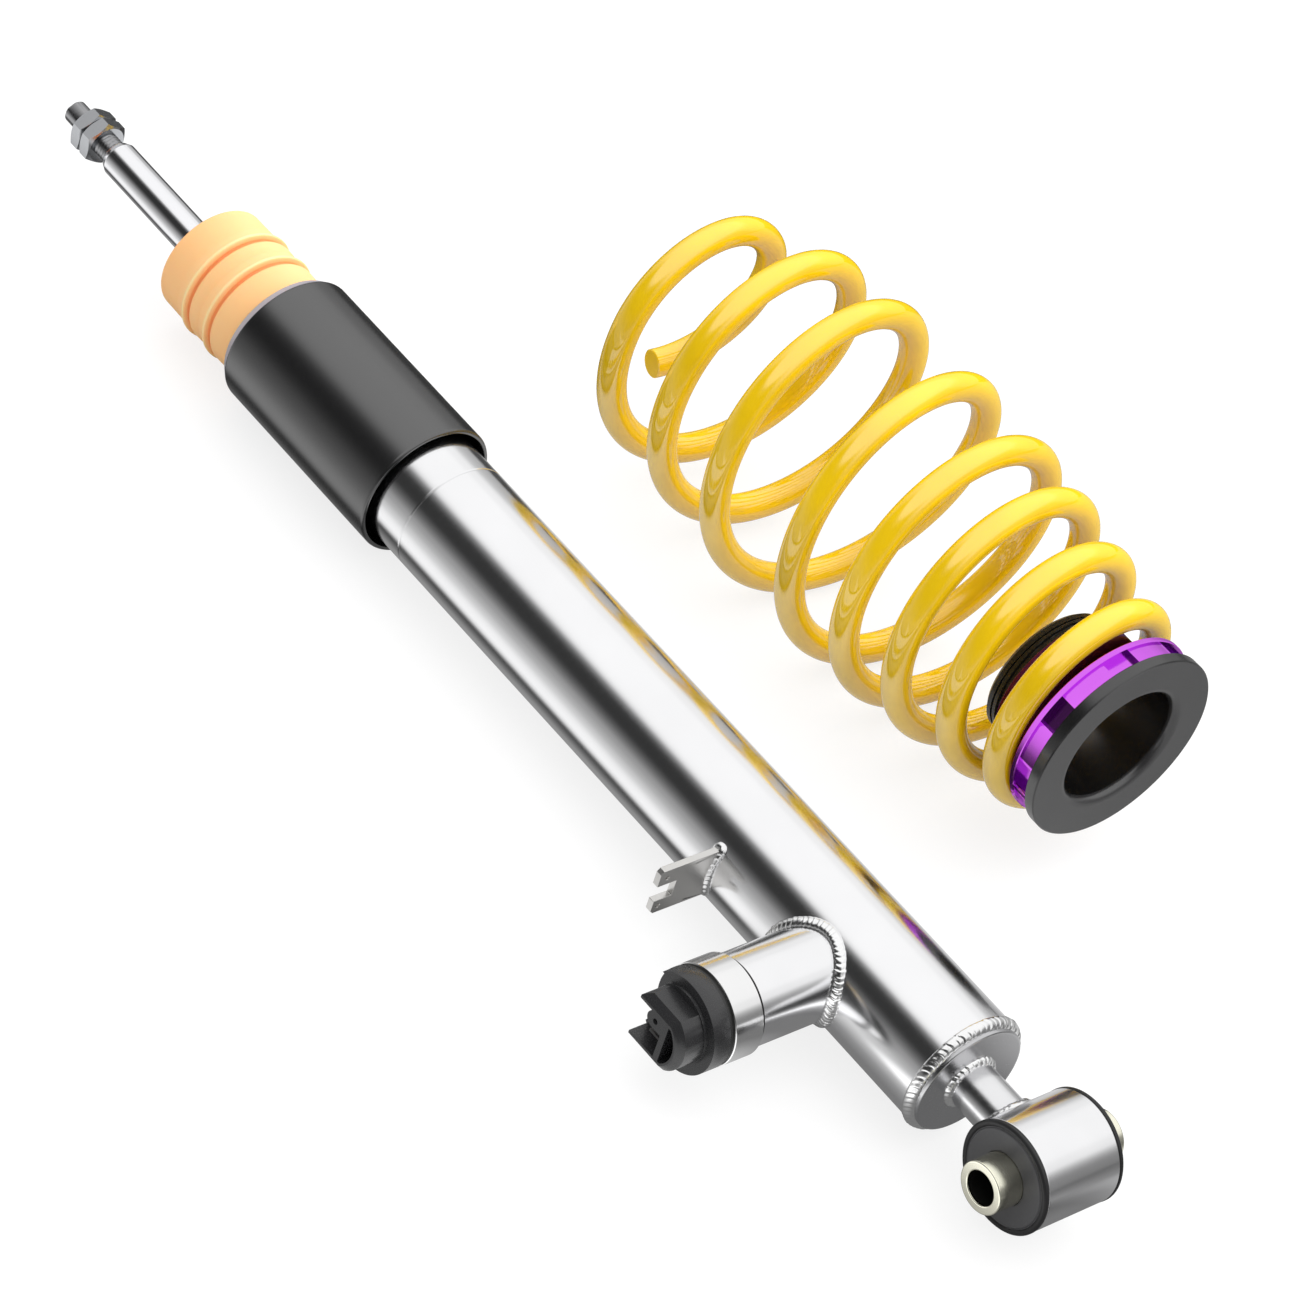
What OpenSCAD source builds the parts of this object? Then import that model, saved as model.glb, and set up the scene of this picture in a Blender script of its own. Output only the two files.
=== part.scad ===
// Rear suspension damper with its separate barrel spring and screw-adjusted spring perch.
// Frame: X runs up the damper from the lower eye to the rod tip, Y along the eye bore
// and the valve, Z up. The origin is the centre of the lower eye bore.

/* [Damper tube] */
// Outer diameter of the damper tube
tube_d = 46; // [44:0.5:48]
// Wall of the damper tube
tube_wall = 2; // [1.6:0.1:2.4]
// Length of the damper tube
tube_len = 308.5; // [290:0.5:320]
// Distance of the closing seam below the tube's top end
seam_drop = 22; // [18:1:28]
// Distance from the eye centre to the outer face of the bottom cap
cap_face = 37.9; // [37:0.1:39]
// Thickness of the bottom cap outside the tube
cap_lip = 3.6; // [3:0.1:5]
// Width of the weld bead round the bottom cap
weld_w = 4; // [3:0.25:5]

/* [Lower eye] */
// Outer diameter of the eye ring
eye_d = 39; // [37:0.5:42]
// Wall of the eye ring
eye_wall = 3; // [2.5:0.25:3.5]
// Width of the eye ring along its bore
eye_w = 31.2; // [28:0.2:34]
// Outer diameter of the bush's inner sleeve
sleeve_d = 18.5; // [17:0.5:20]
// Length of the bush's inner sleeve
sleeve_len = 55.2; // [50:0.2:60]
// Bore of the bush's inner sleeve
bolt_bore_d = 12.2; // [10:0.1:13]
// Thickness of the rubber flange on each side of the eye
flange_t = 2; // [1.5:0.25:2.5]
// Diameter of the neck between the eye and the bottom cap
neck_d = 17.6; // [16:0.2:20]

/* [Control valve] */
// Distance from the eye centre to the valve axis
valve_x = 99.8; // [95:0.2:110]
// Outer diameter of the valve tube
valve_d = 32.6; // [31:0.2:34]
// Wall of the valve tube
valve_wall = 2.5; // [2:0.1:3]
// Length of the valve tube beyond the damper tube's surface
valve_rise = 31.3; // [30:0.1:34]
// Outer diameter of the valve collar
collar_d = 35.6; // [35:0.1:37]
// Length of the valve collar
collar_len = 12.7; // [10:0.1:14]
// Outer diameter of the connector flange
plug_flange_d = 35.2; // [34:0.2:36]
// Thickness of the connector flange
plug_flange_t = 7; // [6:0.25:8]
// Diameter of the round part of the connector
plug_d = 26.6; // [26:0.2:28]
// Length of the connector beyond its flange
plug_len = 11; // [10:0.25:13]
// Width of the connector over its flats
plug_w = 22.6; // [22:0.2:24]
// Size of the bevel round the connector's mouth
plug_bevel = 2.5; // [2:0.1:3]
// Width of the connector's socket
socket_w = 15.4; // [14.4:0.2:16]
// Distance from the valve axis to the open side of the socket
socket_cut = 9.8; // [9:0.1:11]

/* [Cable bracket] */
// Distance from the eye centre to the bracket's lower face
bracket_x = 149.5; // [140:0.5:170]
// Thickness of the bracket plate
bracket_t = 2.5; // [2:0.25:3.5]
// Reach of the longer prong beyond the damper tube's surface
bracket_reach = 23.8; // [20:0.2:28]
// Height of the bracket plate
bracket_h = 19.8; // [17:0.2:22]
// Width of the slot between the prongs
slot_w = 7; // [6:0.25:8]
// Depth of the slot between the prongs
slot_depth = 8.4; // [7:0.2:11]

/* [Inner damper] */
// Gap between the damper tube and the intermediate tube
mid_gap = 2; // [1.5:0.25:2.5]
// Wall of the intermediate tube
mid_wall = 1; // [0.75:0.25:1.25]
// Gap between the intermediate tube and the pressure tube
inner_gap = 1.5; // [1:0.25:2]
// Wall of the pressure tube
inner_wall = 1.5; // [1.25:0.25:1.75]
// Distance from the base valve to the intermediate tube
mid_start_gap = 40; // [30:1:60]
// Length of the rod guide
guide_len = 20; // [17:0.5:22]
// Length of the piston
piston_len = 16; // [14:0.5:18]
// Distance from the rod guide down to the piston's upper face
piston_drop = 17.5; // [16:0.5:60]

/* [Piston rod] */
// Diameter of the piston rod
rod_d = 14; // [13:0.25:15]
// Length of bare rod between the bump stop and the rod's shoulder
bare_len = 62.3; // [40:0.1:90]
// Length of the rod's end beyond its shoulder
stud_len = 28; // [26:0.1:34]
// Diameter of the mounting thread
stud_d = 10; // [9:0.5:11]
// Pitch of the mounting thread
stud_pitch = 1.5; // [1:0.25:2]
// Width across the flats of the mounting nuts
nut_af = 16; // [15:0.5:18]
// Height of each mounting nut
nut_h = 6; // [5:0.25:7]
// Length of plain tip beyond the upper nut
tip_len = 9.5; // [8:0.1:12]
// Diameter of the plain tip
tip_d = 9.2; // [8.4:0.2:9.6]

/* [Bump stop and dust sleeve] */
// Radial gap between the damper tube and the dust sleeve
dust_gap = 2.3; // [1.5:0.1:4]
// Wall of the dust sleeve
dust_wall = 1.8; // [1.2:0.1:2.4]
// Length of the damper tube inside the dust sleeve
dust_overlap = 5.7; // [3:0.1:12]
// Length of the dust sleeve
dust_len = 89; // [80:0.5:100]
// Diameter of the bump stop
bump_d = 44.4; // [42:0.2:46]
// Length of the bump stop beyond the dust sleeve
bump_len = 46.1; // [40:0.1:60]
// Distance from the bump stop's free end to the crest of its first rib
first_rib = 17; // [14:0.1:19]
// Distance between the crests of the bump stop's ribs
rib_pitch = 13.2; // [12:0.1:14]
// Height of the bump stop's ribs
rib_h = 1.3; // [0.8:0.1:2]

/* [Spring perch] */
// Distance sideways from the damper axis to the spring axis
perch_y = 129.9; // [125:0.1:145]
// Distance from the eye centre to the foot face of the perch
perch_x = 119.5; // [110:0.5:130]
// Diameter of the perch foot
foot_d = 77.7; // [75:0.1:80]
// Thickness of the perch foot
foot_t = 4.7; // [4:0.1:6]
// Bore of the perch
perch_bore_d = 47; // [44:0.5:48]
// Outer diameter of the perch thread
perch_thread_d = 52; // [51:0.25:54]
// Length of the threaded barrel beyond the foot
barrel_len = 38; // [34:0.5:42]
// Pitch of the perch thread
perch_pitch = 3; // [2:0.25:4]
// Outer diameter of the adjuster ring's notched band
ring_d = 74; // [72:0.2:75]
// Outer diameter of the adjuster ring's lip
lip_d = 76.4; // [75.5:0.1:78]
// Length of the notched band
band_len = 6.6; // [6:0.1:8]
// Thickness of the lip that the spring sits on
lip_t = 2.2; // [1.5:0.1:3]
// Diameter of the boss inside the spring
boss_d = 56.6; // [56:0.1:60]
// Length of the boss inside the spring
boss_len = 20.8; // [16:0.1:22]
// Length of the boss that may stand past the barrel when the ring is screwed up
ring_overhang = 6.5; // [0:0.1:8]
// Number of spanner notches
notch_count = 8; // [6:1:10]
// Width of each spanner notch
notch_w = 11.4; // [9:0.2:12]
// Depth of each spanner notch
notch_depth = 2.6; // [2:0.1:3]

/* [Coil spring] */
// Diameter of the spring wire
wire_d = 11; // [10:0.1:11.2]
// Total number of turns
turns = 8.07; // [7.8:0.01:8.3]
// Mean coil radius at the perch
seat_r = 37.4; // [37.4:0.1:38.5]
// Mean coil radius at the widest turn
body_r = 51.9; // [48:0.1:53]
// Drop in mean radius over the upper turns
upper_drop = 4.4; // [2:0.1:6]
// Further drop in mean radius at the free end
end_drop = 11; // [8:0.1:12]
// Rise per turn of the soft coils next to the perch
soft_pitch = 24.5; // [22:0.1:28]
// Rise per turn of the coils next to the free end
top_pitch = 31.9; // [28:0.1:36]
// Extra rise per turn in the open middle of the spring
open_rise = 14.3; // [8:0.1:18]
// Extra rise per turn in the last half turn
end_rise = 6; // [0:0.1:14]
// Lean of the spring's centreline towards the damper, in degrees
lean_in = 1; // [0:0.1:2]
// Lean of the spring's centreline upwards, in degrees
lean_up = 1.2; // [0:0.05:2]

/* [Clearances] */
// Radial running clearance of a shaft in its bore
run_gap = 0.05; // [0.02:0.01:0.1]
// Radial running clearance of the adjuster ring on the perch thread
thread_gap = 0.1; // [0.06:0.01:0.1]
// Gap between moving faces that do not bear on each other
air_gap = 0.3; // [0.25:0.05:0.5]

/* [Hidden] */

$fn = 96;
small = 0.01;

tube_r = tube_d / 2;
tube_ir = tube_r - tube_wall;
tube_start = cap_face + cap_lip;
tube_end = tube_start + tube_len;
eye_r = eye_d / 2;
eye_ir = eye_r - eye_wall;
valve_r = valve_d / 2;
valve_ir = valve_r - valve_wall;
rod_r = rod_d / 2;
stud_r = stud_d / 2;
wire_r = wire_d / 2;

// Bottom cap: a rim inside the tube and a smaller face outside it
cap_plug_len = 7;
cap_lip_r = tube_r - 1.4;

// Valve stack, measured along Y from the damper axis
collar_start = tube_r + valve_rise;
collar_end = collar_start + collar_len;
o_ring_t = 1;
flange_start = collar_end + o_ring_t;
flange_end = flange_start + plug_flange_t;
plug_end = flange_end + plug_len;
// Socket of the connector: its floor, the rib behind it and the tongue in it
socket_floor = flange_end + 3;
rib_x = -5.3;
rib_t = 2.4;
tongue_low = 1.9;
tongue_mid = 5;
tongue_len = 7.1;
// Valve parts inside the valve tube
seat_end = tube_r + 4;
coil_start = seat_end + 3;
coil_end = collar_start - 1.3;
core_start = seat_end + 1;
core_end = coil_end + 6;
core_r = 8;
spool_r = 3;
spool_travel = 1.5;
spool_start = tube_r + spool_travel + 0.5;
spool_len = 17;

// Bracket plate: its upper and lower edges and the middle of its slot
bracket_top = bracket_h * 0.55;
bracket_low = bracket_top - bracket_h;
slot_mid = 0.55;

// Inner damper stack, measured along X
end_cap_t = 1.5;
guide_start = tube_end - guide_len - end_cap_t;
guide_spigot = 5;
base_start = tube_start + cap_plug_len;
base_len = 13;
base_end = base_start + base_len;
mid_r = tube_ir - mid_gap;
inner_r = mid_r - mid_wall - inner_gap;
bore_r = inner_r - inner_wall;
piston_x = guide_start - guide_spigot - piston_drop - piston_len;
piston_groove_len = 8;
piston_band_t = 1.5;
piston_nut_h = 5;
stop_len = 6;
seal_len = 6;
seal_w = 4;

// Boot: the bump stop's neck sits in the mouth of the dust sleeve
dust_r = tube_r + dust_gap + dust_wall;
dust_start = tube_end - dust_overlap;
dust_end = dust_start + dust_len;
neck_len = 8;
bump_neck_r = bump_d / 2 - 0.8;
bump_bottom = dust_end - neck_len;
bump_top = dust_end + bump_len;
bump_bore_r = rod_r + run_gap;

// Rod end and the nuts on its thread
shoulder_x = bump_top + bare_len;
tip_x = shoulder_x + stud_len;
nut2_x = tip_x - tip_len - nut_h;
nut1_x = nut2_x - nut_h;
nut_turn = 27;
nut_r = nut_af / 2 / cos(30);
stud_root_r = stud_r - 0.55;

// Travel of the rod until the bump stop meets the tube, and of the boot along the rod
rod_travel = bump_bottom - tube_end - 1;
boot_travel = shoulder_x - bump_top;

// Adjuster ring stack, measured along X
ring_start = perch_x + foot_t + air_gap;
lip_start = ring_start + band_len;
lip_end = lip_start + lip_t;
barrel_end = perch_x + foot_t + barrel_len;
thread_r = perch_thread_d / 2;
ring_travel = barrel_end + ring_overhang - lip_end - boss_len;

// Spring path: the wire starts at this angle round the axis and winds right-handed
start_angle = -118;
rings_per_turn = 24;
wire_sides = 8;
dead_pitch = 3;
seat_turns = 0.5;
wide_turn = 5.06;
drop_turn = 5.25;
drop_spread = 1.8;
end_turn = 7.38;
end_spread = 0.34;
open_turn = 4.77;
open_spread = 1.22;

// Smooth step from 0 to 1, and a smooth bump of height 1 over -1 to 1
function ease(u) = let (c = min(1, max(0, u))) c * c * (3 - 2 * c);
function bump(u) = abs(u) < 1 ? pow(cos(90 * u), 2) : 0;

// Rise per turn and mean radius, after t turns from the perch
function pitch_at(t) = dead_pitch + (soft_pitch - dead_pitch) * ease((t - 0.2) / 0.5)
    + (top_pitch - soft_pitch) * ease((t - 3.5) / 2)
    + open_rise * bump((t - open_turn) / open_spread)
    + end_rise * ease((t - end_turn) / (2 * end_spread));
function coil_r_at(t) = seat_r
    + (body_r - seat_r) * sin(90 * min(1, max(0, (t - seat_turns) / (wide_turn - seat_turns))))
    - upper_drop * ease((t - drop_turn) / drop_spread) - end_drop * ease((t - end_turn) / end_spread);

ring_total = ceil(turns * rings_per_turn);
turn_step = turns / ring_total;
coil_x = [
    for (i = 0, x = lip_end + air_gap + wire_r; i <= ring_total;
         x = x + turn_step * pitch_at((i + 0.5) * turn_step), i = i + 1) x
];
// Wire centreline, relative to the perch axis in Y and Z
coil_path = [
    for (i = [0 : ring_total])
        let (t = i * turn_step, a = start_angle + 360 * t, r = coil_r_at(t))
            [coil_x[i],
             r * cos(a) + tan(lean_in) * (coil_x[i] - perch_x),
             r * sin(a) + tan(lean_up) * (coil_x[i] - perch_x)]
];
spring_low = min([for (p = coil_path) p[2]]) - wire_r;
// The widest coil lies on the same surface as the dust sleeve
perch_z = -dust_r - spring_low;

function unit(v) = v / norm(v);
function coil_tangent(i) = unit(coil_path[min(ring_total, i + 1)] - coil_path[max(0, i - 1)]);
function coil_outward(i) = let (t = coil_tangent(i), a = start_angle + 360 * i * turn_step,
    e = [0, cos(a), sin(a)]) unit(e - (e * t) * t);

// Least distance between the wire's surfaces on neighbouring turns
coil_gap = min([
    for (i = [0 : ring_total], j = [i + rings_per_turn / 2 : ring_total])
        norm(coil_path[i] - coil_path[j])
]) - wire_d;
echo(coil_gap = coil_gap, perch_z = perch_z, spring_end = coil_x[ring_total]);
echo(rod_travel = rod_travel, boot_travel = boot_travel, ring_travel = ring_travel);

module along_x(x) {
    translate([x, 0, 0]) rotate([0, 90, 0]) children();
}

module along_y(y) {
    translate([0, y, 0]) rotate([-90, 0, 0]) children();
}

// Round solid about the X axis from points of distance along X and radius
module turned_x(points) {
    rotate([0, 90, 0]) rotate_extrude() polygon([for (p = points) [p[1], p[0]]]);
}

// Hollow cylinder along X
module pipe_x(x, len, outer, inner) {
    along_x(x) difference() {
        cylinder(h = len, r = outer);
        translate([0, 0, -small]) cylinder(h = len + 2 * small, r = inner);
    }
}

// Hollow cylinder along Y
module pipe_y(y, len, outer, inner) {
    along_y(y) difference() {
        cylinder(h = len, r = outer);
        translate([0, 0, -small]) cylinder(h = len + 2 * small, r = inner);
    }
}

// Hexagon along X, with its corners turned by an angle from Y towards Z
module hex_x(x, len, across, turn) {
    along_x(x) rotate([0, 0, 90 + turn]) cylinder(h = len, r = across / 2 / cos(30), $fn = 6);
}

module at_valve() {
    translate([valve_x, 0, 0]) children();
}

module outer_tube() {
    seam_x = tube_end - seam_drop;
    color("gainsboro") difference() {
        turned_x([
            [tube_start, tube_ir], [tube_start, tube_r],
            [seam_x - 0.4, tube_r], [seam_x, tube_r - 0.4], [seam_x + 0.4, tube_r],
            [tube_end, tube_r], [tube_end, tube_ir]
        ]);
        at_valve() along_y(0) cylinder(h = tube_r + 1, r = valve_ir - 0.5);
    }
}

module bottom_cap() {
    color("gainsboro") turned_x([
        [cap_face, 0], [cap_face, cap_lip_r - 1], [cap_face + 1, cap_lip_r],
        [tube_start, cap_lip_r], [tube_start, tube_ir],
        [tube_start + cap_plug_len, tube_ir], [tube_start + cap_plug_len, 0]
    ]);
}

module cap_weld() {
    bead_r = weld_w / 2;
    color("silver") rotate([0, 90, 0]) rotate_extrude() difference() {
        translate([tube_r - 0.9, tube_start - 0.3]) circle(r = bead_r, $fn = 32);
        translate([0, tube_start]) square([tube_r, weld_w]);
        translate([0, tube_start - weld_w]) square([cap_lip_r, weld_w]);
    }
}

module neck() {
    color("gainsboro") difference() {
        along_x(eye_r - 5) cylinder(h = cap_face - eye_r + 5, d = neck_d);
        along_y(-eye_w) cylinder(h = 2 * eye_w, r = eye_r);
    }
}

module neck_welds() {
    bead_r = 1.7;
    color("silver") {
        rotate([0, 90, 0]) rotate_extrude() difference() {
            translate([neck_d / 2 + 0.5, cap_face - 0.5]) circle(r = bead_r, $fn = 32);
            translate([0, 0]) square([neck_d / 2, cap_face + weld_w]);
            translate([0, cap_face]) square([neck_d, weld_w]);
        }
        difference() {
            intersection() {
                pipe_x(eye_r - 6, 9, neck_d / 2 + bead_r, neck_d / 2);
                along_y(-eye_w) cylinder(h = 2 * eye_w, r = eye_r + bead_r);
            }
            along_y(-eye_w) cylinder(h = 2 * eye_w, r = eye_r);
        }
    }
}

module eye_ring() {
    color("gainsboro") pipe_y(-eye_w / 2, eye_w, eye_r, eye_ir);
}

// Rubber of the bush: it fills the eye and laps over both faces of the ring
module bush_rubber() {
    lap_r = eye_r + 0.15;
    groove = 0.5;
    half = eye_w / 2;
    inner_r = sleeve_d / 2 + run_gap;
    color("dimgray") rotate([-90, 0, 0]) rotate_extrude() polygon([
        [inner_r, -half - flange_t], [lap_r - 2.6, -half - flange_t],
        [lap_r - 2.2, -half - flange_t + groove], [lap_r - 1.8, -half - flange_t],
        [lap_r - 0.4, -half - flange_t], [lap_r, -half - flange_t + 0.4], [lap_r, -half],
        [eye_ir, -half], [eye_ir, half], [lap_r, half],
        [lap_r, half + flange_t - 0.4], [lap_r - 0.4, half + flange_t],
        [lap_r - 1.8, half + flange_t], [lap_r - 2.2, half + flange_t - groove],
        [lap_r - 2.6, half + flange_t], [inner_r, half + flange_t]
    ]);
}

module bush_sleeve() {
    chamfer = 0.6;
    r = sleeve_d / 2;
    half = sleeve_len / 2;
    color("khaki") rotate([-90, 0, 0]) rotate_extrude() polygon([
        [bolt_bore_d / 2, -half], [r - chamfer, -half], [r, -half + chamfer],
        [r, half - chamfer], [r - chamfer, half], [bolt_bore_d / 2, half]
    ]);
}

module valve_tube() {
    color("gainsboro") difference() {
        at_valve() pipe_y(small, collar_start - small, valve_r, valve_ir);
        along_x(valve_x - tube_d) cylinder(h = 2 * tube_d, r = tube_r);
    }
}

// Bead where the valve tube meets the damper tube
module valve_weld() {
    color("silver") difference() {
        intersection() {
            at_valve() along_y(0) cylinder(h = tube_d, r = valve_r + weld_w / 2);
            along_x(valve_x - tube_d) cylinder(h = 2 * tube_d, r = tube_r + weld_w / 2);
        }
        at_valve() along_y(-1) cylinder(h = tube_d + 2, r = valve_r);
        along_x(valve_x - tube_d) cylinder(h = 2 * tube_d, r = tube_r);
        translate([valve_x - tube_d, -tube_d, -tube_d]) cube([2 * tube_d, tube_d + 2, 2 * tube_d]);
    }
}

module valve_collar() {
    rim = 0.2;
    color("gainsboro") at_valve() along_y(0) rotate_extrude() polygon([
        [valve_ir, collar_start], [valve_r, collar_start], [collar_d / 2, collar_start + 0.8],
        [collar_d / 2, collar_end - rim], [collar_d / 2 - rim, collar_end],
        [valve_ir, collar_end]
    ]);
}

module valve_o_ring() {
    color("black") at_valve()
        pipe_y(collar_end, o_ring_t, plug_flange_d / 2 - 0.3, valve_ir);
}

module valve_seat() {
    color("goldenrod") at_valve() difference() {
        along_y(tube_r) cylinder(h = seat_end - tube_r, r = valve_ir);
        along_y(tube_r - 1) cylinder(h = seat_end, r = spool_r + run_gap);
    }
}

module solenoid_coil() {
    color("peru") at_valve() pipe_y(coil_start, coil_end - coil_start, valve_ir, core_r);
}

module solenoid_core() {
    color("silver") at_valve() difference() {
        along_y(core_start) cylinder(h = core_end - core_start, r = core_r);
        along_y(seat_end) cylinder(h = spool_start + spool_len + spool_travel + 1 - seat_end,
            r = spool_r + run_gap);
    }
}

module valve_spool() {
    color("slategray") at_valve() along_y(spool_start) cylinder(h = spool_len, r = spool_r);
}

// Black moulded cap: a flange cut back on one side, and a round body with two flats,
// a bevelled mouth and a socket that is open towards the rod
module connector_cap() {
    flange_r = plug_flange_d / 2;
    body_r = plug_d / 2;
    half_w = plug_w / 2;
    mouth_r = body_r - plug_bevel;
    half_socket = socket_w / 2;
    recess_depth = 5.5;
    rim = 0.8;
    color([0.16, 0.16, 0.17]) at_valve() difference() {
        union() {
            difference() {
                along_y(flange_start) cylinder(h = plug_flange_t, r = flange_r);
                translate([0, flange_end - recess_depth, -half_w])
                    cube([flange_r + 1, plug_flange_t, plug_w]);
            }
            along_y(flange_start) cylinder(h = plug_flange_t + 1, r = body_r + 0.6);
            intersection() {
                union() {
                    along_y(flange_start) rotate_extrude() polygon([
                        [0, 0], [body_r, 0], [body_r, plug_end - flange_start - plug_bevel],
                        [mouth_r, plug_end - flange_start], [0, plug_end - flange_start]
                    ]);
                    translate([0, flange_start, -body_r])
                        cube([body_r, plug_end - flange_start, plug_d]);
                }
                along_y(flange_start) cylinder(h = plug_end - flange_start, r = body_r);
                rotate([90, 0, 90]) translate([0, 0, -body_r]) linear_extrude(plug_d) polygon([
                    [flange_start, -half_w], [plug_end - plug_bevel, -half_w],
                    [plug_end, -half_w + plug_bevel], [plug_end, half_w - plug_bevel],
                    [plug_end - plug_bevel, half_w], [flange_start, half_w]
                ]);
            }
            along_y(core_end) cylinder(h = flange_start - core_end, r = valve_ir - air_gap);
        }
        // Open side of the socket
        translate([socket_cut, flange_end - recess_depth, -half_w])
            cube([flange_r, plug_end, plug_w]);
        // Socket with the tongue left standing in it
        difference() {
            translate([rib_x + rib_t, socket_floor, -half_socket])
                cube([plug_d, plug_end, socket_w]);
            translate([rib_x, socket_floor, tongue_low])
                cube([tongue_len, plug_end - socket_floor, plug_d]);
            translate([rib_x + tongue_len, socket_floor, tongue_mid]) rotate([-90, 0, 0])
                cylinder(h = plug_end - socket_floor, r = tongue_mid - tongue_low);
        }
        // Hole in the tongue
        translate([rib_x + tongue_len - 1, plug_end - 3, tongue_mid])
            rotate([-90, 0, 0]) cylinder(h = 6, r = 1.1);
        // Closed pocket behind the rib
        difference() {
            intersection() {
                along_y(socket_floor + 2) cylinder(h = plug_len, r = mouth_r - rim);
                translate([-plug_d, socket_floor, -half_socket])
                    cube([2 * plug_d, plug_end, socket_w]);
            }
            translate([rib_x, 0, -plug_d]) cube([2 * plug_d, 2 * plug_end, 2 * plug_d]);
        }
    }
}

module connector_pins() {
    pin_w = 1;
    pin_len = 8;
    pin_y = flange_end + 6;
    color("goldenrod") at_valve() for (z = [-4.6, -1])
        translate([rib_x + rib_t, pin_y, z - pin_w / 2]) cube([pin_len, pin_w, pin_w]);
}

// Fork plate square to the damper axis, with its root on the tube
module cable_bracket() {
    reach = tube_r + bracket_reach;
    reach_low = reach - 0.7;
    slot_end = reach - slot_depth;
    bevel = 1.2;
    hole_r = 0.8;
    root = tube_r / 2;
    color("silver") difference() {
        translate([bracket_x, 0, 0]) rotate([90, 0, 90]) linear_extrude(bracket_t) polygon([
            [root, bracket_low], [reach_low - bevel, bracket_low],
            [reach_low, bracket_low + bevel], [reach_low, slot_mid - slot_w / 2],
            [slot_end, slot_mid - slot_w / 2], [slot_end, slot_mid + slot_w / 2],
            [reach, slot_mid + slot_w / 2], [reach, bracket_top - bevel],
            [reach - bevel, bracket_top], [root, bracket_top]
        ]);
        along_x(bracket_x - 1) cylinder(h = bracket_t + 2, r = tube_r);
        for (z = [bracket_top - 3.8, bracket_low + 3]) translate([0, reach - 3.4, z])
            along_x(bracket_x - 1) cylinder(h = bracket_t + 2, r = hole_r);
    }
}

// Fillet on both faces of the bracket's root
module bracket_weld() {
    leg = 2;
    color("silver") intersection() {
        union() {
            turned_x([
                [bracket_x - leg, tube_r], [bracket_x, tube_r], [bracket_x, tube_r + leg]
            ]);
            turned_x([
                [bracket_x + bracket_t, tube_r], [bracket_x + bracket_t + leg, tube_r],
                [bracket_x + bracket_t, tube_r + leg]
            ]);
        }
        translate([bracket_x - tube_d, 0, bracket_low])
            cube([2 * tube_d, tube_d, bracket_top - bracket_low]);
    }
}

module intermediate_tube() {
    start = base_end + mid_start_gap;
    color("lightsteelblue") pipe_x(start, guide_start - start, mid_r, mid_r - mid_wall);
}

module pressure_tube() {
    color("lightgray") pipe_x(base_end, guide_start - base_end, inner_r, bore_r);
}

module base_valve() {
    color("darkgoldenrod") difference() {
        turned_x([
            [base_start, 0], [base_start, tube_ir], [base_start + 5, tube_ir],
            [base_end, inner_r], [base_end, 0]
        ]);
        for (a = [0 : 60 : 300]) rotate([a, 0, 0]) translate([0, inner_r / 2, 0])
            along_x(base_start - 1) cylinder(h = base_len + 2, r = 1.5);
    }
}

module rod_guide() {
    color("silver") difference() {
        turned_x([
            [guide_start - guide_spigot, 0], [guide_start - guide_spigot, bore_r],
            [guide_start, bore_r], [guide_start, tube_ir],
            [guide_start + guide_len, tube_ir], [guide_start + guide_len, 0]
        ]);
        along_x(guide_start - guide_spigot - 1)
            cylinder(h = guide_len + guide_spigot + 2, r = rod_r + run_gap);
        along_x(guide_start + guide_len - seal_len)
            cylinder(h = seal_len + 1, r = rod_r + seal_w);
    }
}

module rod_seal() {
    color("black") pipe_x(guide_start + guide_len - seal_len, seal_len,
        rod_r + seal_w, rod_r + run_gap);
}

module tube_end_cap() {
    color("silver") pipe_x(tube_end - end_cap_t, end_cap_t, tube_ir, rod_r + 1);
}

// Chrome rod with a chamfered shoulder, a threaded stud, and a plain tip with two flats
module piston_rod() {
    chamfer_len = 2.5;
    flats = 7.4;
    flats_turn = 57;
    bottom = piston_x - piston_nut_h - 1;
    piston_end = piston_x + piston_len;
    tip_start = tip_x - tip_len + 0.8;
    grooves = floor((tip_start - shoulder_x) / stud_pitch);
    color("silver") difference() {
        turned_x(concat(
            [[bottom, 0], [bottom, stud_r], [piston_end, stud_r], [piston_end, rod_r],
             [shoulder_x - chamfer_len, rod_r], [shoulder_x, rod_r - 1], [shoulder_x, stud_r]],
            [for (i = [0 : grooves - 1]) each [
                [shoulder_x + (i + 0.25) * stud_pitch, stud_r],
                [shoulder_x + (i + 0.75) * stud_pitch, stud_root_r]]],
            [[tip_start, tip_d / 2], [tip_x - 0.7, tip_d / 2], [tip_x, tip_d / 2 - 0.7],
             [tip_x, 0]]
        ));
        for (s = [0, 180]) rotate([s + flats_turn, 0, 0])
            translate([tip_start, flats / 2, -rod_r]) cube([tip_len, rod_r, rod_d]);
    }
}

module piston() {
    piston_r = bore_r - 0.5;
    band_start = piston_x + (piston_len - piston_groove_len) / 2;
    band_end = band_start + piston_groove_len;
    bottom_r = bore_r - piston_band_t;
    color("darkgray") difference() {
        turned_x([
            [piston_x, 0], [piston_x, piston_r], [band_start, piston_r],
            [band_start, bottom_r], [band_end, bottom_r],
            [band_end, piston_r], [piston_x + piston_len, piston_r],
            [piston_x + piston_len, 0]
        ]);
        along_x(piston_x - 1) cylinder(h = piston_len + 2, r = stud_r);
        for (a = [0 : 60 : 300]) rotate([a, 0, 0]) translate([0, piston_r * 0.66, 0])
            along_x(piston_x - 1) cylinder(h = piston_len + 2, r = 1.6);
    }
}

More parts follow.
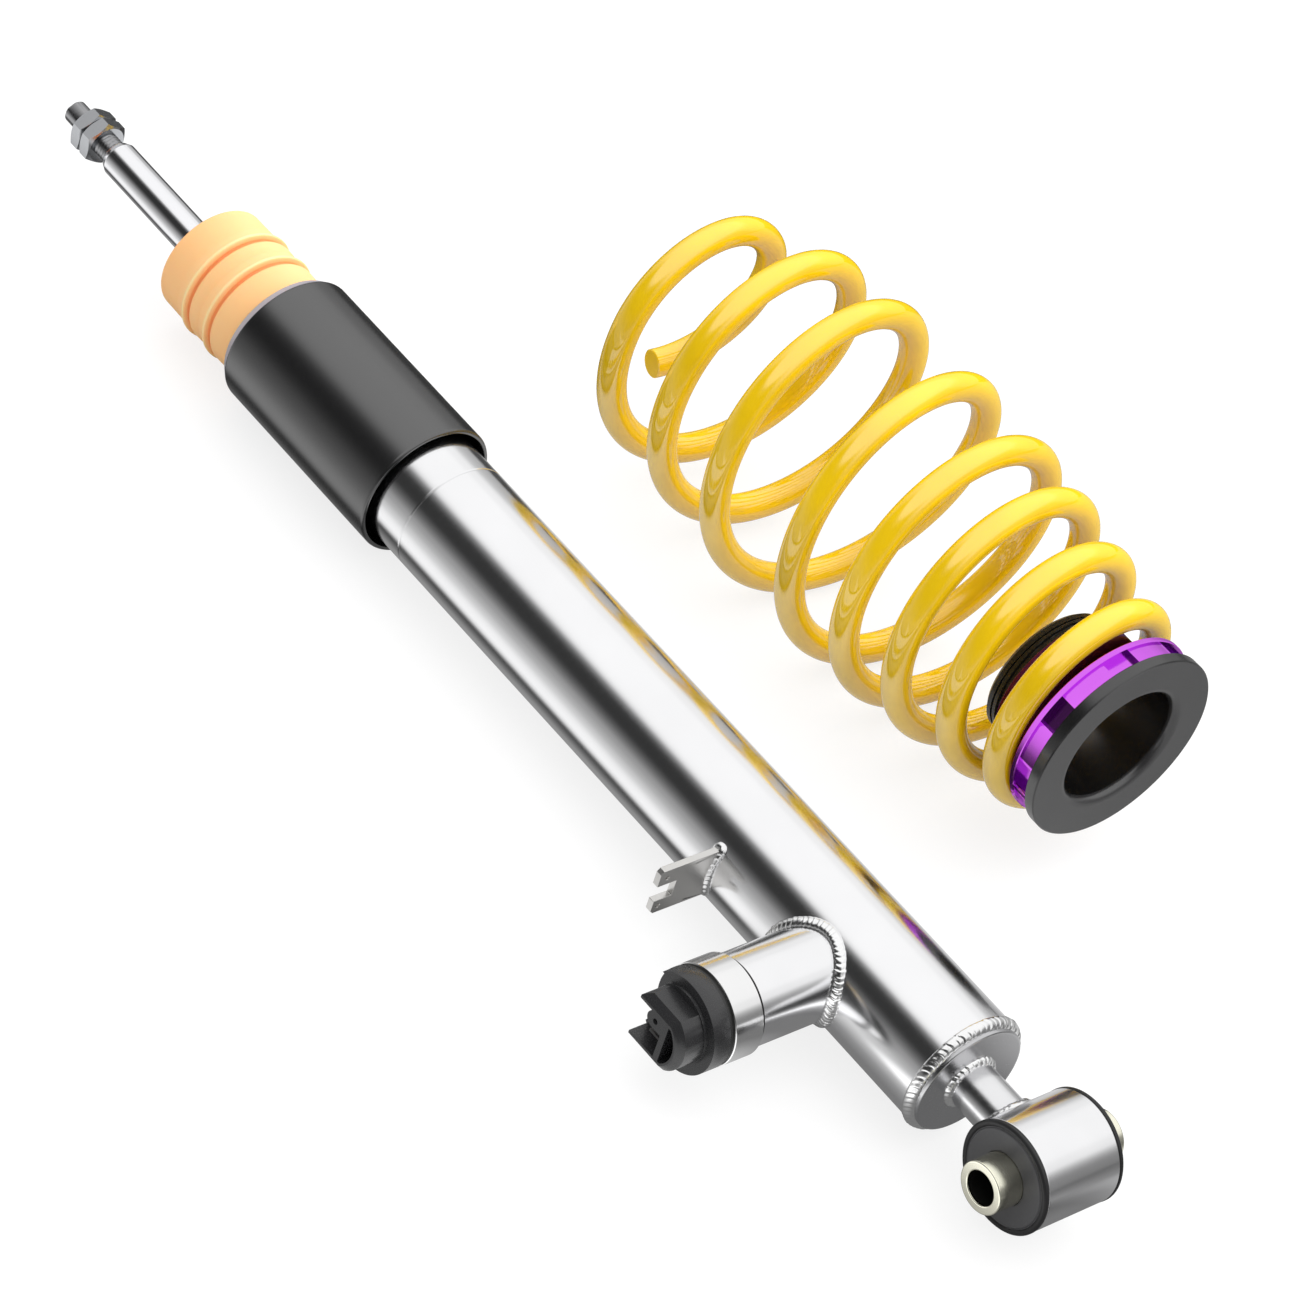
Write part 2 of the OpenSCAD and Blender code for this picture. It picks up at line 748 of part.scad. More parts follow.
module piston_band() {
    color("dimgray") pipe_x(piston_x + (piston_len - piston_groove_len) / 2 + run_gap,
        piston_groove_len - 2 * run_gap, bore_r - run_gap, bore_r - piston_band_t + run_gap);
}

module piston_nut() {
    color("silver") difference() {
        hex_x(piston_x - piston_nut_h, piston_nut_h, 15, 0);
        along_x(piston_x - piston_nut_h - 1) cylinder(h = piston_nut_h + 2, r = stud_r);
    }
}

module rebound_stop() {
    color("ivory") pipe_x(piston_x + piston_len, stop_len, rod_r + 5, rod_r);
}

// Hexagon nut with rounded-off corners and a countersunk bore
module mount_nut(x) {
    face_r = nut_af / 2 - 0.2;
    slope = (nut_r - face_r) * tan(30);
    sink = 0.8;
    color("silver") difference() {
        intersection() {
            hex_x(x, nut_h, nut_af, nut_turn);
            turned_x([
                [x, 0], [x, face_r], [x + slope, nut_r + small],
                [x + nut_h - slope, nut_r + small], [x + nut_h, face_r], [x + nut_h, 0]
            ]);
        }
        turned_x([
            [x - small, 0], [x - small, stud_r + sink], [x + sink, stud_r],
            [x + nut_h - sink, stud_r], [x + nut_h + small, stud_r + sink],
            [x + nut_h + small, 0]
        ]);
    }
}

module lower_nut() {
    mount_nut(nut1_x);
}

module upper_nut() {
    mount_nut(nut2_x);
}

// Foam bump stop: plain end, then saw-tooth ribs, then a neck in the dust sleeve
module bump_stop() {
    r = bump_d / 2;
    edge = 1;
    rise = 6;
    fall = 1.8;
    ribs = floor((bump_len - first_rib) / rib_pitch);
    color([1, 0.78, 0.5]) turned_x(concat(
        [[bump_top, bump_bore_r], [bump_top, r - edge],
         [bump_top - edge * 0.3, r - edge * 0.3], [bump_top - edge, r]],
        [for (i = [0 : ribs]) let (crest = bump_top - first_rib - i * rib_pitch) each [
            [crest + rise, r], [crest + rise * 0.4, r + rib_h * 0.5],
            [crest + rise * 0.15, r + rib_h * 0.9], [crest, r + rib_h],
            [crest - fall * 0.4, r + rib_h * 0.8], [crest - fall, r]]],
        [[dust_end, r], [dust_end, bump_neck_r],
         [bump_bottom, bump_neck_r], [bump_bottom, bump_bore_r]]
    ));
}

// Dust sleeve: open at the tube end, with a rounded rim and a lip round the bump stop
module dust_sleeve() {
    lip_len = 5;
    color([0.2, 0.2, 0.21]) turned_x([
        [dust_start, dust_r - dust_wall], [dust_start, dust_r - 0.4],
        [dust_start + 0.4, dust_r], [dust_end - 3.5, dust_r], [dust_end - 1.6, dust_r - 0.4],
        [dust_end - 0.5, dust_r - 1], [dust_end, dust_r - 1.8], [dust_end, bump_neck_r],
        [dust_end - lip_len, bump_neck_r], [dust_end - lip_len, dust_r - dust_wall]
    ]);
}

// Spring perch: foot disc with a rounded bore mouth and a ring-grooved barrel with a plain end
module perch() {
    mouth = 3;
    depth = 0.9;
    end_land = 3.2;
    end_chamfer = 1.4;
    bore_r = perch_bore_d / 2;
    thread_end = barrel_end - end_land;
    grooves = floor((thread_end - perch_x - foot_t) / perch_pitch);
    color([0.22, 0.22, 0.23]) translate([0, -perch_y, perch_z]) turned_x(concat(
        [for (a = [0 : 15 : 90])
            [perch_x + mouth * (1 - sin(a)), bore_r + mouth * (1 - cos(a))]],
        [[perch_x, foot_d / 2 - 0.3], [perch_x + 0.3, foot_d / 2],
         [perch_x + foot_t - 0.4, foot_d / 2], [perch_x + foot_t, foot_d / 2 - 0.4],
         [perch_x + foot_t, thread_r]],
        [for (i = [grooves : -1 : 1]) let (g = thread_end - i * perch_pitch) each [
            [g + 0.5 * perch_pitch, thread_r],
            [g + 0.6 * perch_pitch, thread_r - depth],
            [g + 0.9 * perch_pitch, thread_r - depth],
            [g + perch_pitch, thread_r]]],
        [[barrel_end - end_chamfer, thread_r], [barrel_end, thread_r - end_chamfer],
         [barrel_end, bore_r]]
    ));
}

// Purple ring: notched band, lip under the spring, and the boss inside it
module adjuster_ring() {
    notch_turn = 33;
    mid_r = ring_d / 2 - notch_depth;
    color("darkviolet") translate([0, -perch_y, perch_z]) difference() {
        turned_x([
            [ring_start, thread_r + thread_gap], [ring_start, ring_d / 2 - 0.3],
            [ring_start + 0.3, ring_d / 2], [lip_start, ring_d / 2],
            [lip_start, lip_d / 2 - 0.3], [lip_start + 0.3, lip_d / 2],
            [lip_end - 0.4, lip_d / 2], [lip_end, lip_d / 2 - 0.4],
            [lip_end, boss_d / 2], [lip_end + boss_len - 0.5, boss_d / 2],
            [lip_end + boss_len, boss_d / 2 - 0.5], [lip_end + boss_len, thread_r + thread_gap]
        ]);
        for (i = [0 : notch_count - 1]) rotate([notch_turn + i * 360 / notch_count, 0, 0])
            translate([ring_start - 1, mid_r, -notch_w / 2]) cube([band_len + 1, ring_d, notch_w]);
    }
}

// Barrel spring: one tube swept along the coil path, closed by a flat face at each end
module coil_spring() {
    skin = [
        for (i = [0 : ring_total])
            let (t = coil_tangent(i), u = coil_outward(i), v = cross(t, u))
                for (k = [0 : wire_sides - 1])
                    let (a = 360 * k / wire_sides)
                        coil_path[i] + wire_r * (cos(a) * u + sin(a) * v)
    ];
    last = ring_total * wire_sides;
    sides = [
        for (i = [0 : ring_total - 1], k = [0 : wire_sides - 1])
            let (n = (k + 1) % wire_sides, a = i * wire_sides + k, b = i * wire_sides + n,
                 c = a + wire_sides, d = b + wire_sides)
                each [[a, b, d], [a, d, c]]
    ];
    start_face = [for (k = [1 : wire_sides - 2]) [0, k + 1, k]];
    end_face = [for (k = [1 : wire_sides - 2]) [last, last + k, last + k + 1]];
    color("gold") translate([0, -perch_y, perch_z])
        polyhedron(skin, concat(sides, start_face, end_face), convexity = 10);
}

outer_tube();
bottom_cap();
cap_weld();
neck();
neck_welds();
eye_ring();
bush_rubber();
bush_sleeve();
valve_tube();
valve_weld();
valve_collar();
valve_o_ring();
valve_seat();
solenoid_coil();
solenoid_core();
valve_spool();
connector_cap();
connector_pins();
cable_bracket();
bracket_weld();
intermediate_tube();
pressure_tube();
base_valve();
rod_guide();
rod_seal();
tube_end_cap();
piston_rod();
piston();
piston_band();
piston_nut();
rebound_stop();
lower_nut();
upper_nut();
bump_stop();
dust_sleeve();
perch();
adjuster_ring();
coil_spring();
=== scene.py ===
"""Looks of the damper and spring set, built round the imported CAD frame. All lengths are in metres."""

import math

import bmesh
import bpy
from mathutils import Matrix, Vector, noise


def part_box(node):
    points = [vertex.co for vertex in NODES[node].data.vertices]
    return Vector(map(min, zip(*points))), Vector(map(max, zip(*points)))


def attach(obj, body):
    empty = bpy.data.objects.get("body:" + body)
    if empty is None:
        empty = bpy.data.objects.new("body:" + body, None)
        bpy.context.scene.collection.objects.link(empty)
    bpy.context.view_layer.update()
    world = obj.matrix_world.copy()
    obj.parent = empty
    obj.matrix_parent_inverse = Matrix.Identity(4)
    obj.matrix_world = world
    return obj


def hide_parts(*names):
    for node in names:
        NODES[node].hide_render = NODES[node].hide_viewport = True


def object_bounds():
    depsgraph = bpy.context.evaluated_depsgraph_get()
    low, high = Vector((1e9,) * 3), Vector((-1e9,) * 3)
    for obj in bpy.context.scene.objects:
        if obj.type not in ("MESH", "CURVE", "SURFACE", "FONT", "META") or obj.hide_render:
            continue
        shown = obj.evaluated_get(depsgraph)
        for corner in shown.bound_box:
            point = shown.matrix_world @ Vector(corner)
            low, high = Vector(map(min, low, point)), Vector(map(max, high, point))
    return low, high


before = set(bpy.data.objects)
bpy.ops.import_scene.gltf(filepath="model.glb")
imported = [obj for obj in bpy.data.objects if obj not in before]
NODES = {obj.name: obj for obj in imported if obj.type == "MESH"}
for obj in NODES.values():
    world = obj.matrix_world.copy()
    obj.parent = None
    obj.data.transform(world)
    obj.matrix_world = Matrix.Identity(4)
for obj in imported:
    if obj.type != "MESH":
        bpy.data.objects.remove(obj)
cad_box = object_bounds()

MM = 0.001
AXIS_X = Vector((1, 0, 0))
AXIS_Y = Vector((0, 1, 0))
AXIS_Z = Vector((0, 0, 1))
ORIGIN = Vector((0, 0, 0))


# ---------------------------------------------------------------- sizes taken from the frame
def low(node_name):
    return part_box(node_name)[0]


def high(node_name):
    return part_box(node_name)[1]


def middle(node_name):
    return (low(node_name) + high(node_name)) / 2


TUBE_START = low("outer_tube").x
TUBE_END = high("outer_tube").x
TUBE_R = high("outer_tube").z
CAP_FACE = low("bottom_cap").x
NECK_R = high("neck").z
EYE_R = high("eye_ring").z
EYE_HALF = high("eye_ring").y
VALVE_X = middle("valve_tube").x
VALVE_R = high("valve_tube").z
COLLAR_START = low("valve_collar").y
COLLAR_END = high("valve_collar").y
COLLAR_R = high("valve_collar").z
PERCH_AXIS = middle("perch")
PERCH_X = low("perch").x
FOOT_R = high("perch").z - PERCH_AXIS.z
FLOOR_Z = cad_box[0].z

# Sizes that lie inside a node's box, with the values of the CAD source
TUBE_WALL = 2.0 * MM
SEAM_DROP = 22.0 * MM
EYE_WALL = 3.0 * MM
BOLT_BORE_R = 6.1 * MM
DUST_WALL = 1.8 * MM
BUMP_R = 22.2 * MM
RIB_H = 1.3 * MM
ROD_R = 7.0 * MM
BARE_LEN = 62.3 * MM
STUD_R = 5.0 * MM
STUD_PITCH = 1.5 * MM
BOSS_R = 28.3 * MM
BOSS_LEN = 20.8 * MM
FOOT_T = 4.7 * MM
PERCH_BORE_R = 23.5 * MM
PERCH_THREAD_R = 26.0 * MM
PERCH_PITCH = 3.0 * MM
WIRE_R = 5.5 * MM
AIR_GAP = 0.3 * MM

# Depth of a thread from crest to root
STUD_THREAD_DEPTH = 0.6 * MM
PERCH_THREAD_DEPTH = 0.9 * MM


# ---------------------------------------------------------------- mesh helpers
def new_object(name, data):
    obj = bpy.data.objects.new(name, data)
    bpy.context.scene.collection.objects.link(obj)
    return obj


def finish_mesh(name, bm, material, sharp_deg=32):
    """Turns a bmesh into a shaded object, smooth except at edges sharper than sharp_deg."""
    bmesh.ops.recalc_face_normals(bm, faces=bm.faces)
    for face in bm.faces:
        face.smooth = True
    for edge in bm.edges:
        if len(edge.link_faces) == 2 and edge.calc_face_angle(0) > math.radians(sharp_deg):
            edge.smooth = False
    mesh = bpy.data.meshes.new(name)
    bm.to_mesh(mesh)
    bm.free()
    mesh.materials.append(material)
    return new_object(name, mesh)


def place(obj, body, slot, *replaced):
    """Lets a piece ride on a body, in place of these CAD nodes. slot is not used."""
    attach(obj, body)
    if replaced:
        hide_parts(*replaced)


def around(angle, side=AXIS_Y, up=AXIS_Z):
    """Direction at this angle from side towards up, which by default goes round the X axis."""
    return side * math.cos(angle) + up * math.sin(angle)


def square_to(axis):
    """Two directions square to X or Y, so that the three are right-handed."""
    if axis == AXIS_X:
        return AXIS_Y, AXIS_Z
    return AXIS_Z, AXIS_X


def skin(bm, rings, endless=False):
    """Joins each ring of points to the next one with quads, and the last to the first if endless."""
    following = rings[1:] + rings[:1] if endless else rings[1:]
    for a, b in zip(rings, following):
        for k in range(len(a)):
            n = (k + 1) % len(a)
            bm.faces.new((a[k], a[n], b[n], b[k]))


def round_corners(points, radius, closed, steps=4):
    """Rounds each corner of a profile with an arc-like curve of about this radius."""
    nearly_straight = math.radians(155)
    most_of_side = 0.45
    out = []
    count = len(points)
    for i, point in enumerate(points):
        here = Vector(point)
        if not closed and i in (0, count - 1):
            out.append(here)
            continue
        to_before = Vector(points[i - 1]) - here
        to_after = Vector(points[(i + 1) % count]) - here
        if to_before.angle(to_after) > nearly_straight:
            out.append(here)
            continue
        cut = min(radius, to_before.length * most_of_side, to_after.length * most_of_side)
        start = here + to_before.normalized() * cut
        end = here + to_after.normalized() * cut
        for k in range(steps + 1):
            t = k / steps
            out.append(start * (1 - t) ** 2 + here * 2 * t * (1 - t) + end * t * t)
    return out


def support_ends(points, closed):
    """Adds a point close to each end of every long stretch, so smooth shading stays true along it."""
    near = 0.15 * MM
    out = []
    count = len(points)
    for i, here in enumerate(points):
        out.append(here)
        if i == count - 1 and not closed:
            break
        after = points[(i + 1) % count]
        step = after - here
        if step.length > 5 * near:
            out.append(here + step.normalized() * near)
            out.append(after - step.normalized() * near)
    return out


def lathe(name, profile, axis, centre, material, rounding=0.0, segments=192, closed=True, sharp_deg=32):
    """Turns a profile of (distance along the axis, radius) points round the axis through centre."""
    points = round_corners(profile, rounding, closed) if rounding else [Vector(p) for p in profile]
    points = support_ends(points, closed)
    side, up = square_to(axis)
    bm = bmesh.new()
    rings = []
    for i in range(segments):
        out = around(2 * math.pi * i / segments, side, up)
        rings.append([bm.verts.new(centre + axis * p[0] + out * p[1]) for p in points])
    count = len(points)
    for i in range(segments):
        a, b = rings[i], rings[(i + 1) % segments]
        for k in range(count if closed else count - 1):
            n = (k + 1) % count
            if (points[k] - points[n]).length > 1e-9:
                bm.faces.new((a[k], a[n], b[n], b[k]))
    bmesh.ops.remove_doubles(bm, verts=bm.verts, dist=1e-7)
    return finish_mesh(name, bm, material, sharp_deg)


# ---------------------------------------------------------------- shader helpers
MIX_A, MIX_B, MIX_RESULT = 6, 7, 2  # the colour sockets of a Mix node
NOISE_SPAN = (0.3, 0.7)  # where most values of a noise texture lie


def start_material(name):
    mat = bpy.data.materials.new(name)
    mat.use_nodes = True
    return mat, mat.node_tree, mat.node_tree.nodes["Principled BSDF"]


def node(tree, kind, **values):
    """New shader node. Each value goes to the input of that name, or else to the node's own setting."""
    made = tree.nodes.new(kind)
    for key, value in values.items():
        if key in made.inputs:
            made.inputs[key].default_value = value
        else:
            setattr(made, key, value)
    return made


def feed(tree, socket, value):
    """Gives an input either the output of another node or a plain value."""
    if isinstance(value, bpy.types.NodeSocket):
        tree.links.new(value, socket)
    else:
        socket.default_value = value


def calc(tree, operation, *values):
    made = node(tree, "ShaderNodeMath", operation=operation)
    for socket, value in zip(made.inputs, values):
        feed(tree, socket, value)
    return made.outputs[0]


def mix_colours(tree, factor, a, b, blend_type="MIX"):
    made = node(tree, "ShaderNodeMix", data_type="RGBA", blend_type=blend_type)
    feed(tree, made.inputs["Factor"], factor)
    feed(tree, made.inputs[MIX_A], a)
    feed(tree, made.inputs[MIX_B], b)
    return made.outputs[MIX_RESULT]


def mix_shaders(tree, factor, a, b):
    made = node(tree, "ShaderNodeMixShader")
    feed(tree, made.inputs["Fac"], factor)
    tree.links.new(a, made.inputs[1])
    tree.links.new(b, made.inputs[2])
    return made.outputs[0]


def parts_of(tree, vector):
    """The X, Y and Z outputs of a vector."""
    split = node(tree, "ShaderNodeSeparateXYZ")
    tree.links.new(vector, split.inputs[0])
    return split.outputs


def coords(tree, stretch=(1, 1, 1)):
    """Object coordinates in metres, multiplied along each axis."""
    source = node(tree, "ShaderNodeTexCoord")
    mapping = node(tree, "ShaderNodeMapping", Scale=stretch)
    tree.links.new(source.outputs["Object"], mapping.inputs["Vector"])
    return mapping.outputs["Vector"]


def value_range(tree, source, span, to):
    """Maps the values within span to those within to, and holds the ends beyond it."""
    limits = {"From Min": span[0], "From Max": span[1], "To Min": to[0], "To Max": to[1]}
    made = node(tree, "ShaderNodeMapRange", **limits)
    tree.links.new(source, made.inputs["Value"])
    return made.outputs["Result"]


def ramp(tree, source, stops):
    """Colour or grey ramp from (position, colour or value) stops."""
    made = node(tree, "ShaderNodeValToRGB")
    elements = made.color_ramp.elements
    while len(elements) > 1:
        elements.remove(elements[-1])
    for i, (position, value) in enumerate(stops):
        element = elements[0] if i == 0 else elements.new(position)
        element.position = position
        element.color = (*value, 1) if isinstance(value, tuple) else (value, value, value, 1)
    tree.links.new(source, made.inputs["Fac"])
    return made.outputs["Color"]


def noise_at(tree, scale, detail=3, stretch=(1, 1, 1), roughness=0.5):
    tex = node(tree, "ShaderNodeTexNoise", Scale=scale, Detail=detail, Roughness=roughness)
    tree.links.new(coords(tree, stretch), tex.inputs["Vector"])
    return tex.outputs["Fac"]


def bump(tree, shader, source, strength, distance):
    made = node(tree, "ShaderNodeBump", Strength=strength, Distance=distance)
    tree.links.new(source, made.inputs["Height"])
    tree.links.new(made.outputs["Normal"], shader.inputs["Normal"])


def away_from(tree, line, across):
    """Distance of the shaded point from a line. across is 1 for the two axes square to the line."""
    source = node(tree, "ShaderNodeTexCoord")
    shift = node(tree, "ShaderNodeMapping", Scale=across, Location=[-p * a for p, a in zip(line, across)])
    tree.links.new(source.outputs["Object"], shift.inputs["Vector"])
    length = node(tree, "ShaderNodeVectorMath", operation="LENGTH")
    tree.links.new(shift.outputs["Vector"], length.inputs[0])
    return length.outputs["Value"]


def painted_shade_by(mat, line, across, span, inside, outside):
    """Paints shade: multiplies the base colour by inside up to a span of distances from a line, and by
    outside past it.
    """
    tree = mat.node_tree
    socket = tree.nodes["Principled BSDF"].inputs["Base Color"]
    plain = socket.links[0].from_socket
    share = value_range(tree, away_from(tree, line, across), span, (0.0, 1.0))
    part = ramp(tree, share, [(0.0, inside), (1.0, outside)])
    tree.links.new(mix_colours(tree, 1.0, plain, part, "MULTIPLY"), socket)


# ---------------------------------------------------------------- kinds of material
def cloud_colour(tree, shader, colour, scale, detail, darkest, palest):
    """Lets the base colour drift softly between a darker and a paler shade of itself."""
    dark = tuple(c * darkest for c in colour)
    pale = tuple(min(1, c * palest) for c in colour)
    clouds = ramp(tree, noise_at(tree, scale, detail), list(zip(NOISE_SPAN, (dark, pale))))
    tree.links.new(clouds, shader.inputs["Base Color"])


def add_grain(tree, shader, grain, roughness, spread, proud, height):
    """Varies the roughness with the grain, and lets the grain stand slightly proud."""
    varied = value_range(tree, grain, NOISE_SPAN, (roughness - spread, roughness + spread))
    tree.links.new(varied, shader.inputs["Roughness"])
    if proud:
        bump(tree, shader, grain, proud, height)


def metal(name, colour, roughness, spread, grain, stretch, proud, tint=0.06):
    """Metal with grain of this fineness, which stands proud a little. tint is how far the colour varies."""
    mat, tree, shader = start_material(name)
    shader.inputs["Metallic"].default_value = 1.0
    cloud_colour(tree, shader, colour, 38, 3, 1 - tint, 1 + tint)
    add_grain(tree, shader, noise_at(tree, grain, 4, stretch, 0.65), roughness, spread, proud, 0.1 * MM)
    return mat


def plastic(name, colour, roughness, grain, proud, ior=1.5, spread=0.05):
    """Moulded, cast or painted surface with fine grain and slightly varied colour."""
    mat, tree, shader = start_material(name)
    shader.inputs["IOR"].default_value = ior
    cloud_colour(tree, shader, colour, 30, 4, 0.9, 1.08)
    add_grain(tree, shader, noise_at(tree, grain), roughness, spread, proud, 0.05 * MM)
    return mat


def soft_foam(name):
    """Warm cellular foam that scatters light, with painted shade deepening its colour down in the grooves
    and a painted highlight paling it on the rib crests.
    """
    mat, tree, shader = start_material(name)
    shader.inputs["IOR"].default_value = 1.4
    shader.inputs["Roughness"].default_value = 0.6
    shader.inputs["Subsurface Weight"].default_value = 0.25
    shader.inputs["Subsurface Radius"].default_value = (1.0, 0.45, 0.18)
    shader.inputs["Subsurface Scale"].default_value = 3 * MM
    groove_to_crest = (BUMP_R - 1.2 * MM, BUMP_R + RIB_H)
    depth = value_range(tree, away_from(tree, ORIGIN, ROUND_X), groove_to_crest, (0.0, 1.0))
    # Painted shade and highlight: darker, deeper orange in the grooves, paler on the crests.
    painted_shade_by_depth = ramp(tree, depth, [
        (0.0, (0.86, 0.30, 0.10)), (0.30, (0.94, 0.38, 0.14)), (0.44, (1.0, 0.55, 0.235)),
        (0.85, (1.0, 0.60, 0.27)), (1.0, (1.0, 0.72, 0.36)),
    ])
    tree.links.new(painted_shade_by_depth, shader.inputs["Base Color"])
    bump(tree, shader, noise_at(tree, 1600, 2), 0.12, 0.05 * MM)
    return mat


# ---------------------------------------------------------------- materials
# How many times finer the grain is along each axis
RINGS_X = (6, 0.3, 0.3)
RINGS_Y = (0.3, 6, 0.3)
BRUSHED_Y = (0.5, 5, 1)
EVEN = (1, 1, 1)

# The axes that count in the distance from a line along X or Y
ROUND_X = (0, 1, 1)
ROUND_Y = (1, 0, 1)

polished_steel = metal("polished_steel", (0.94, 0.94, 0.95), roughness=0.16, spread=0.02,
                       grain=900, stretch=RINGS_X, proud=0.004, tint=0.015)
polished_valve = metal("polished_valve", (0.92, 0.92, 0.93), roughness=0.16, spread=0.025,
                       grain=900, stretch=RINGS_Y, proud=0.006, tint=0.02)
cap_steel = metal("cap_steel", (0.84, 0.84, 0.85), roughness=0.2, spread=0.04,
                  grain=700, stretch=EVEN, proud=0.02, tint=0.03)
ground_steel = metal("ground_steel", (0.60, 0.60, 0.61), roughness=0.24, spread=0.04,
                     grain=700, stretch=EVEN, proud=0.02, tint=0.03)
eye_steel = metal("eye_steel", (0.92, 0.92, 0.93), roughness=0.17, spread=0.03,
                  grain=800, stretch=RINGS_Y, proud=0.01, tint=0.03)
collar_steel = metal("collar_steel", (0.90, 0.90, 0.90), roughness=0.14, spread=0.03,
                     grain=900, stretch=RINGS_Y, proud=0.015, tint=0.03)
plate_steel = metal("plate_steel", (0.74, 0.73, 0.71), roughness=0.32, spread=0.04,
                    grain=500, stretch=BRUSHED_Y, proud=0.02, tint=0.03)
weld_metal = metal("weld_metal", (0.96, 0.96, 0.96), roughness=0.2, spread=0.06,
                   grain=1200, stretch=EVEN, proud=0.03, tint=0.04)
inner_steel = metal("inner_steel", (0.62, 0.63, 0.65), roughness=0.25, spread=0.05,
                    grain=700, stretch=RINGS_X, proud=0.03)
chrome = metal("rod_chrome", (0.94, 0.94, 0.96), roughness=0.12, spread=0.015,
               grain=900, stretch=RINGS_X, proud=0.003, tint=0.015)
zinc = metal("zinc", (0.99, 0.96, 0.80), roughness=0.2, spread=0.04,
             grain=600, stretch=RINGS_Y, proud=0.01, tint=0.03)
nut_zinc = metal("nut_zinc", (0.54, 0.55, 0.57), roughness=0.2, spread=0.02,
                 grain=500, stretch=EVEN, proud=0.003, tint=0.04)
stud_steel = metal("stud_steel", (0.40, 0.40, 0.41), roughness=0.24, spread=0.03,
                   grain=600, stretch=EVEN, proud=0.004, tint=0.05)
brass = metal("brass", (0.72, 0.55, 0.25), roughness=0.25, spread=0.05,
              grain=500, stretch=EVEN, proud=0.03)
copper = metal("copper_winding", (0.70, 0.36, 0.18), roughness=0.3, spread=0.06,
               grain=700, stretch=RINGS_Y, proud=0.1)
cast_iron = metal("sintered_iron", (0.36, 0.36, 0.38), roughness=0.5, spread=0.08,
                  grain=900, stretch=EVEN, proud=0.1, tint=0.1)
tin = metal("tinned_pins", (0.35, 0.34, 0.33), roughness=0.35, spread=0.05,
            grain=500, stretch=EVEN, proud=0.02)
purple = metal("purple_aluminium", (0.70, 0.15, 0.90), roughness=0.17, spread=0.03,
               grain=600, stretch=RINGS_X, proud=0.01, tint=0.04)
# Painted shade: the boss of the adjuster ring, next to the perch axis, is darkened to about a sixth.
painted_shade_by(purple, PERCH_AXIS, ROUND_X, (BOSS_R + 0.2 * MM, BOSS_R + 0.6 * MM), 0.16, 1.0)

rubber = plastic("bush_rubber", (0.068, 0.068, 0.071), roughness=0.42, grain=900, proud=0.03)
# Painted shade: the rubber is darkened to a fifth outwards of just inside the eye ring's radius, over its
# outer lip.
painted_shade_by(rubber, ORIGIN, ROUND_Y, (EYE_R - 2.2 * MM, EYE_R - 1.9 * MM), 1.0, 0.2)
seal_rubber = plastic("seal_rubber", (0.02, 0.02, 0.02), roughness=0.45, grain=900, proud=0.1)
black_plastic = plastic("black_plastic", (0.024, 0.024, 0.0255), roughness=0.27, grain=1400,
                        proud=0.012, ior=1.6, spread=0.02)
# Pale grey-lilac of the sleeve's chamfer ring, a painted highlight.
painted_rim_highlight = plastic("painted_rim_highlight", (0.36, 0.34, 0.38), roughness=0.35, grain=1500, proud=0.0, spread=0.02)
sleeve_black = plastic("sleeve_black", (0.009, 0.009, 0.0095), roughness=0.25, grain=1500,
                       proud=0.008, ior=2.25, spread=0.02)
# Near-black: painted shade in the eye bore, the valve groove and the joint of the nuts, and the dark seal
# behind the valve collar.
shade_and_seal_black = plastic("shade_and_seal_black", (0.006, 0.006, 0.005), roughness=0.5, grain=700, proud=0.0)
band_plastic = plastic("band_plastic", (0.50, 0.45, 0.36), roughness=0.5, grain=700, proud=0.1)
foam = soft_foam("foam")
black_aluminium = plastic("black_aluminium", (0.036, 0.036, 0.037), roughness=0.24, grain=900,
                          proud=0.0, ior=1.9, spread=0.02)
# Painted shade: the outer rim of the perch foot is darkened to 0.3.
painted_shade_by(black_aluminium, PERCH_AXIS, ROUND_X, (FOOT_R - 0.45 * MM, FOOT_R - 0.35 * MM), 1.0, 0.3)
# Smoother than the foot, and darker than it as painted shade inside the bore.
bore_shaded_black = plastic("perch_bore", (0.010, 0.010, 0.010), roughness=0.2, grain=900,
                      proud=0.0, ior=1.8, spread=0.02)
barrel_black = plastic("barrel_black", (0.013, 0.013, 0.012), roughness=0.28, grain=900,
                       proud=0.0, ior=1.45, spread=0.02)
spring_paint = plastic("spring_paint", (0.93, 0.60, 0.004), roughness=0.04, grain=700,
                       proud=0.0, ior=2.3, spread=0.01)

NODE_MATERIALS = {
    "outer_tube": polished_steel,
    "bottom_cap": cap_steel,
    "cap_weld": weld_metal,
    "neck": cap_steel,
    "neck_welds": weld_metal,
    "eye_ring": eye_steel,
    "bush_rubber": rubber,
    "bush_sleeve": zinc,
    "valve_tube": polished_valve,
    "valve_weld": weld_metal,
    "valve_collar": collar_steel,
    "valve_o_ring": seal_rubber,
    "valve_seat": brass,
    "solenoid_coil": copper,
    "solenoid_core": inner_steel,
    "valve_spool": inner_steel,
    "connector_cap": black_plastic,
    "connector_pins": tin,
    "cable_bracket": plate_steel,
    "bracket_weld": weld_metal,
    "intermediate_tube": inner_steel,
    "pressure_tube": inner_steel,
    "base_valve": brass,
    "rod_guide": cast_iron,
    "rod_seal": seal_rubber,
    "tube_end_cap": cap_steel,
    "piston_rod": chrome,
    "piston": cast_iron,
    "piston_band": band_plastic,
    "piston_nut": nut_zinc,
    "rebound_stop": band_plastic,
    "lower_nut": nut_zinc,
    "upper_nut": nut_zinc,
    "bump_stop": foam,
    "dust_sleeve": sleeve_black,
    "perch": black_aluminium,
    "adjuster_ring": purple,
    "coil_spring": spring_paint,
}
for node_name, material in NODE_MATERIALS.items():
    slots = NODES[node_name].data.materials
    slots.clear()
    slots.append(material)


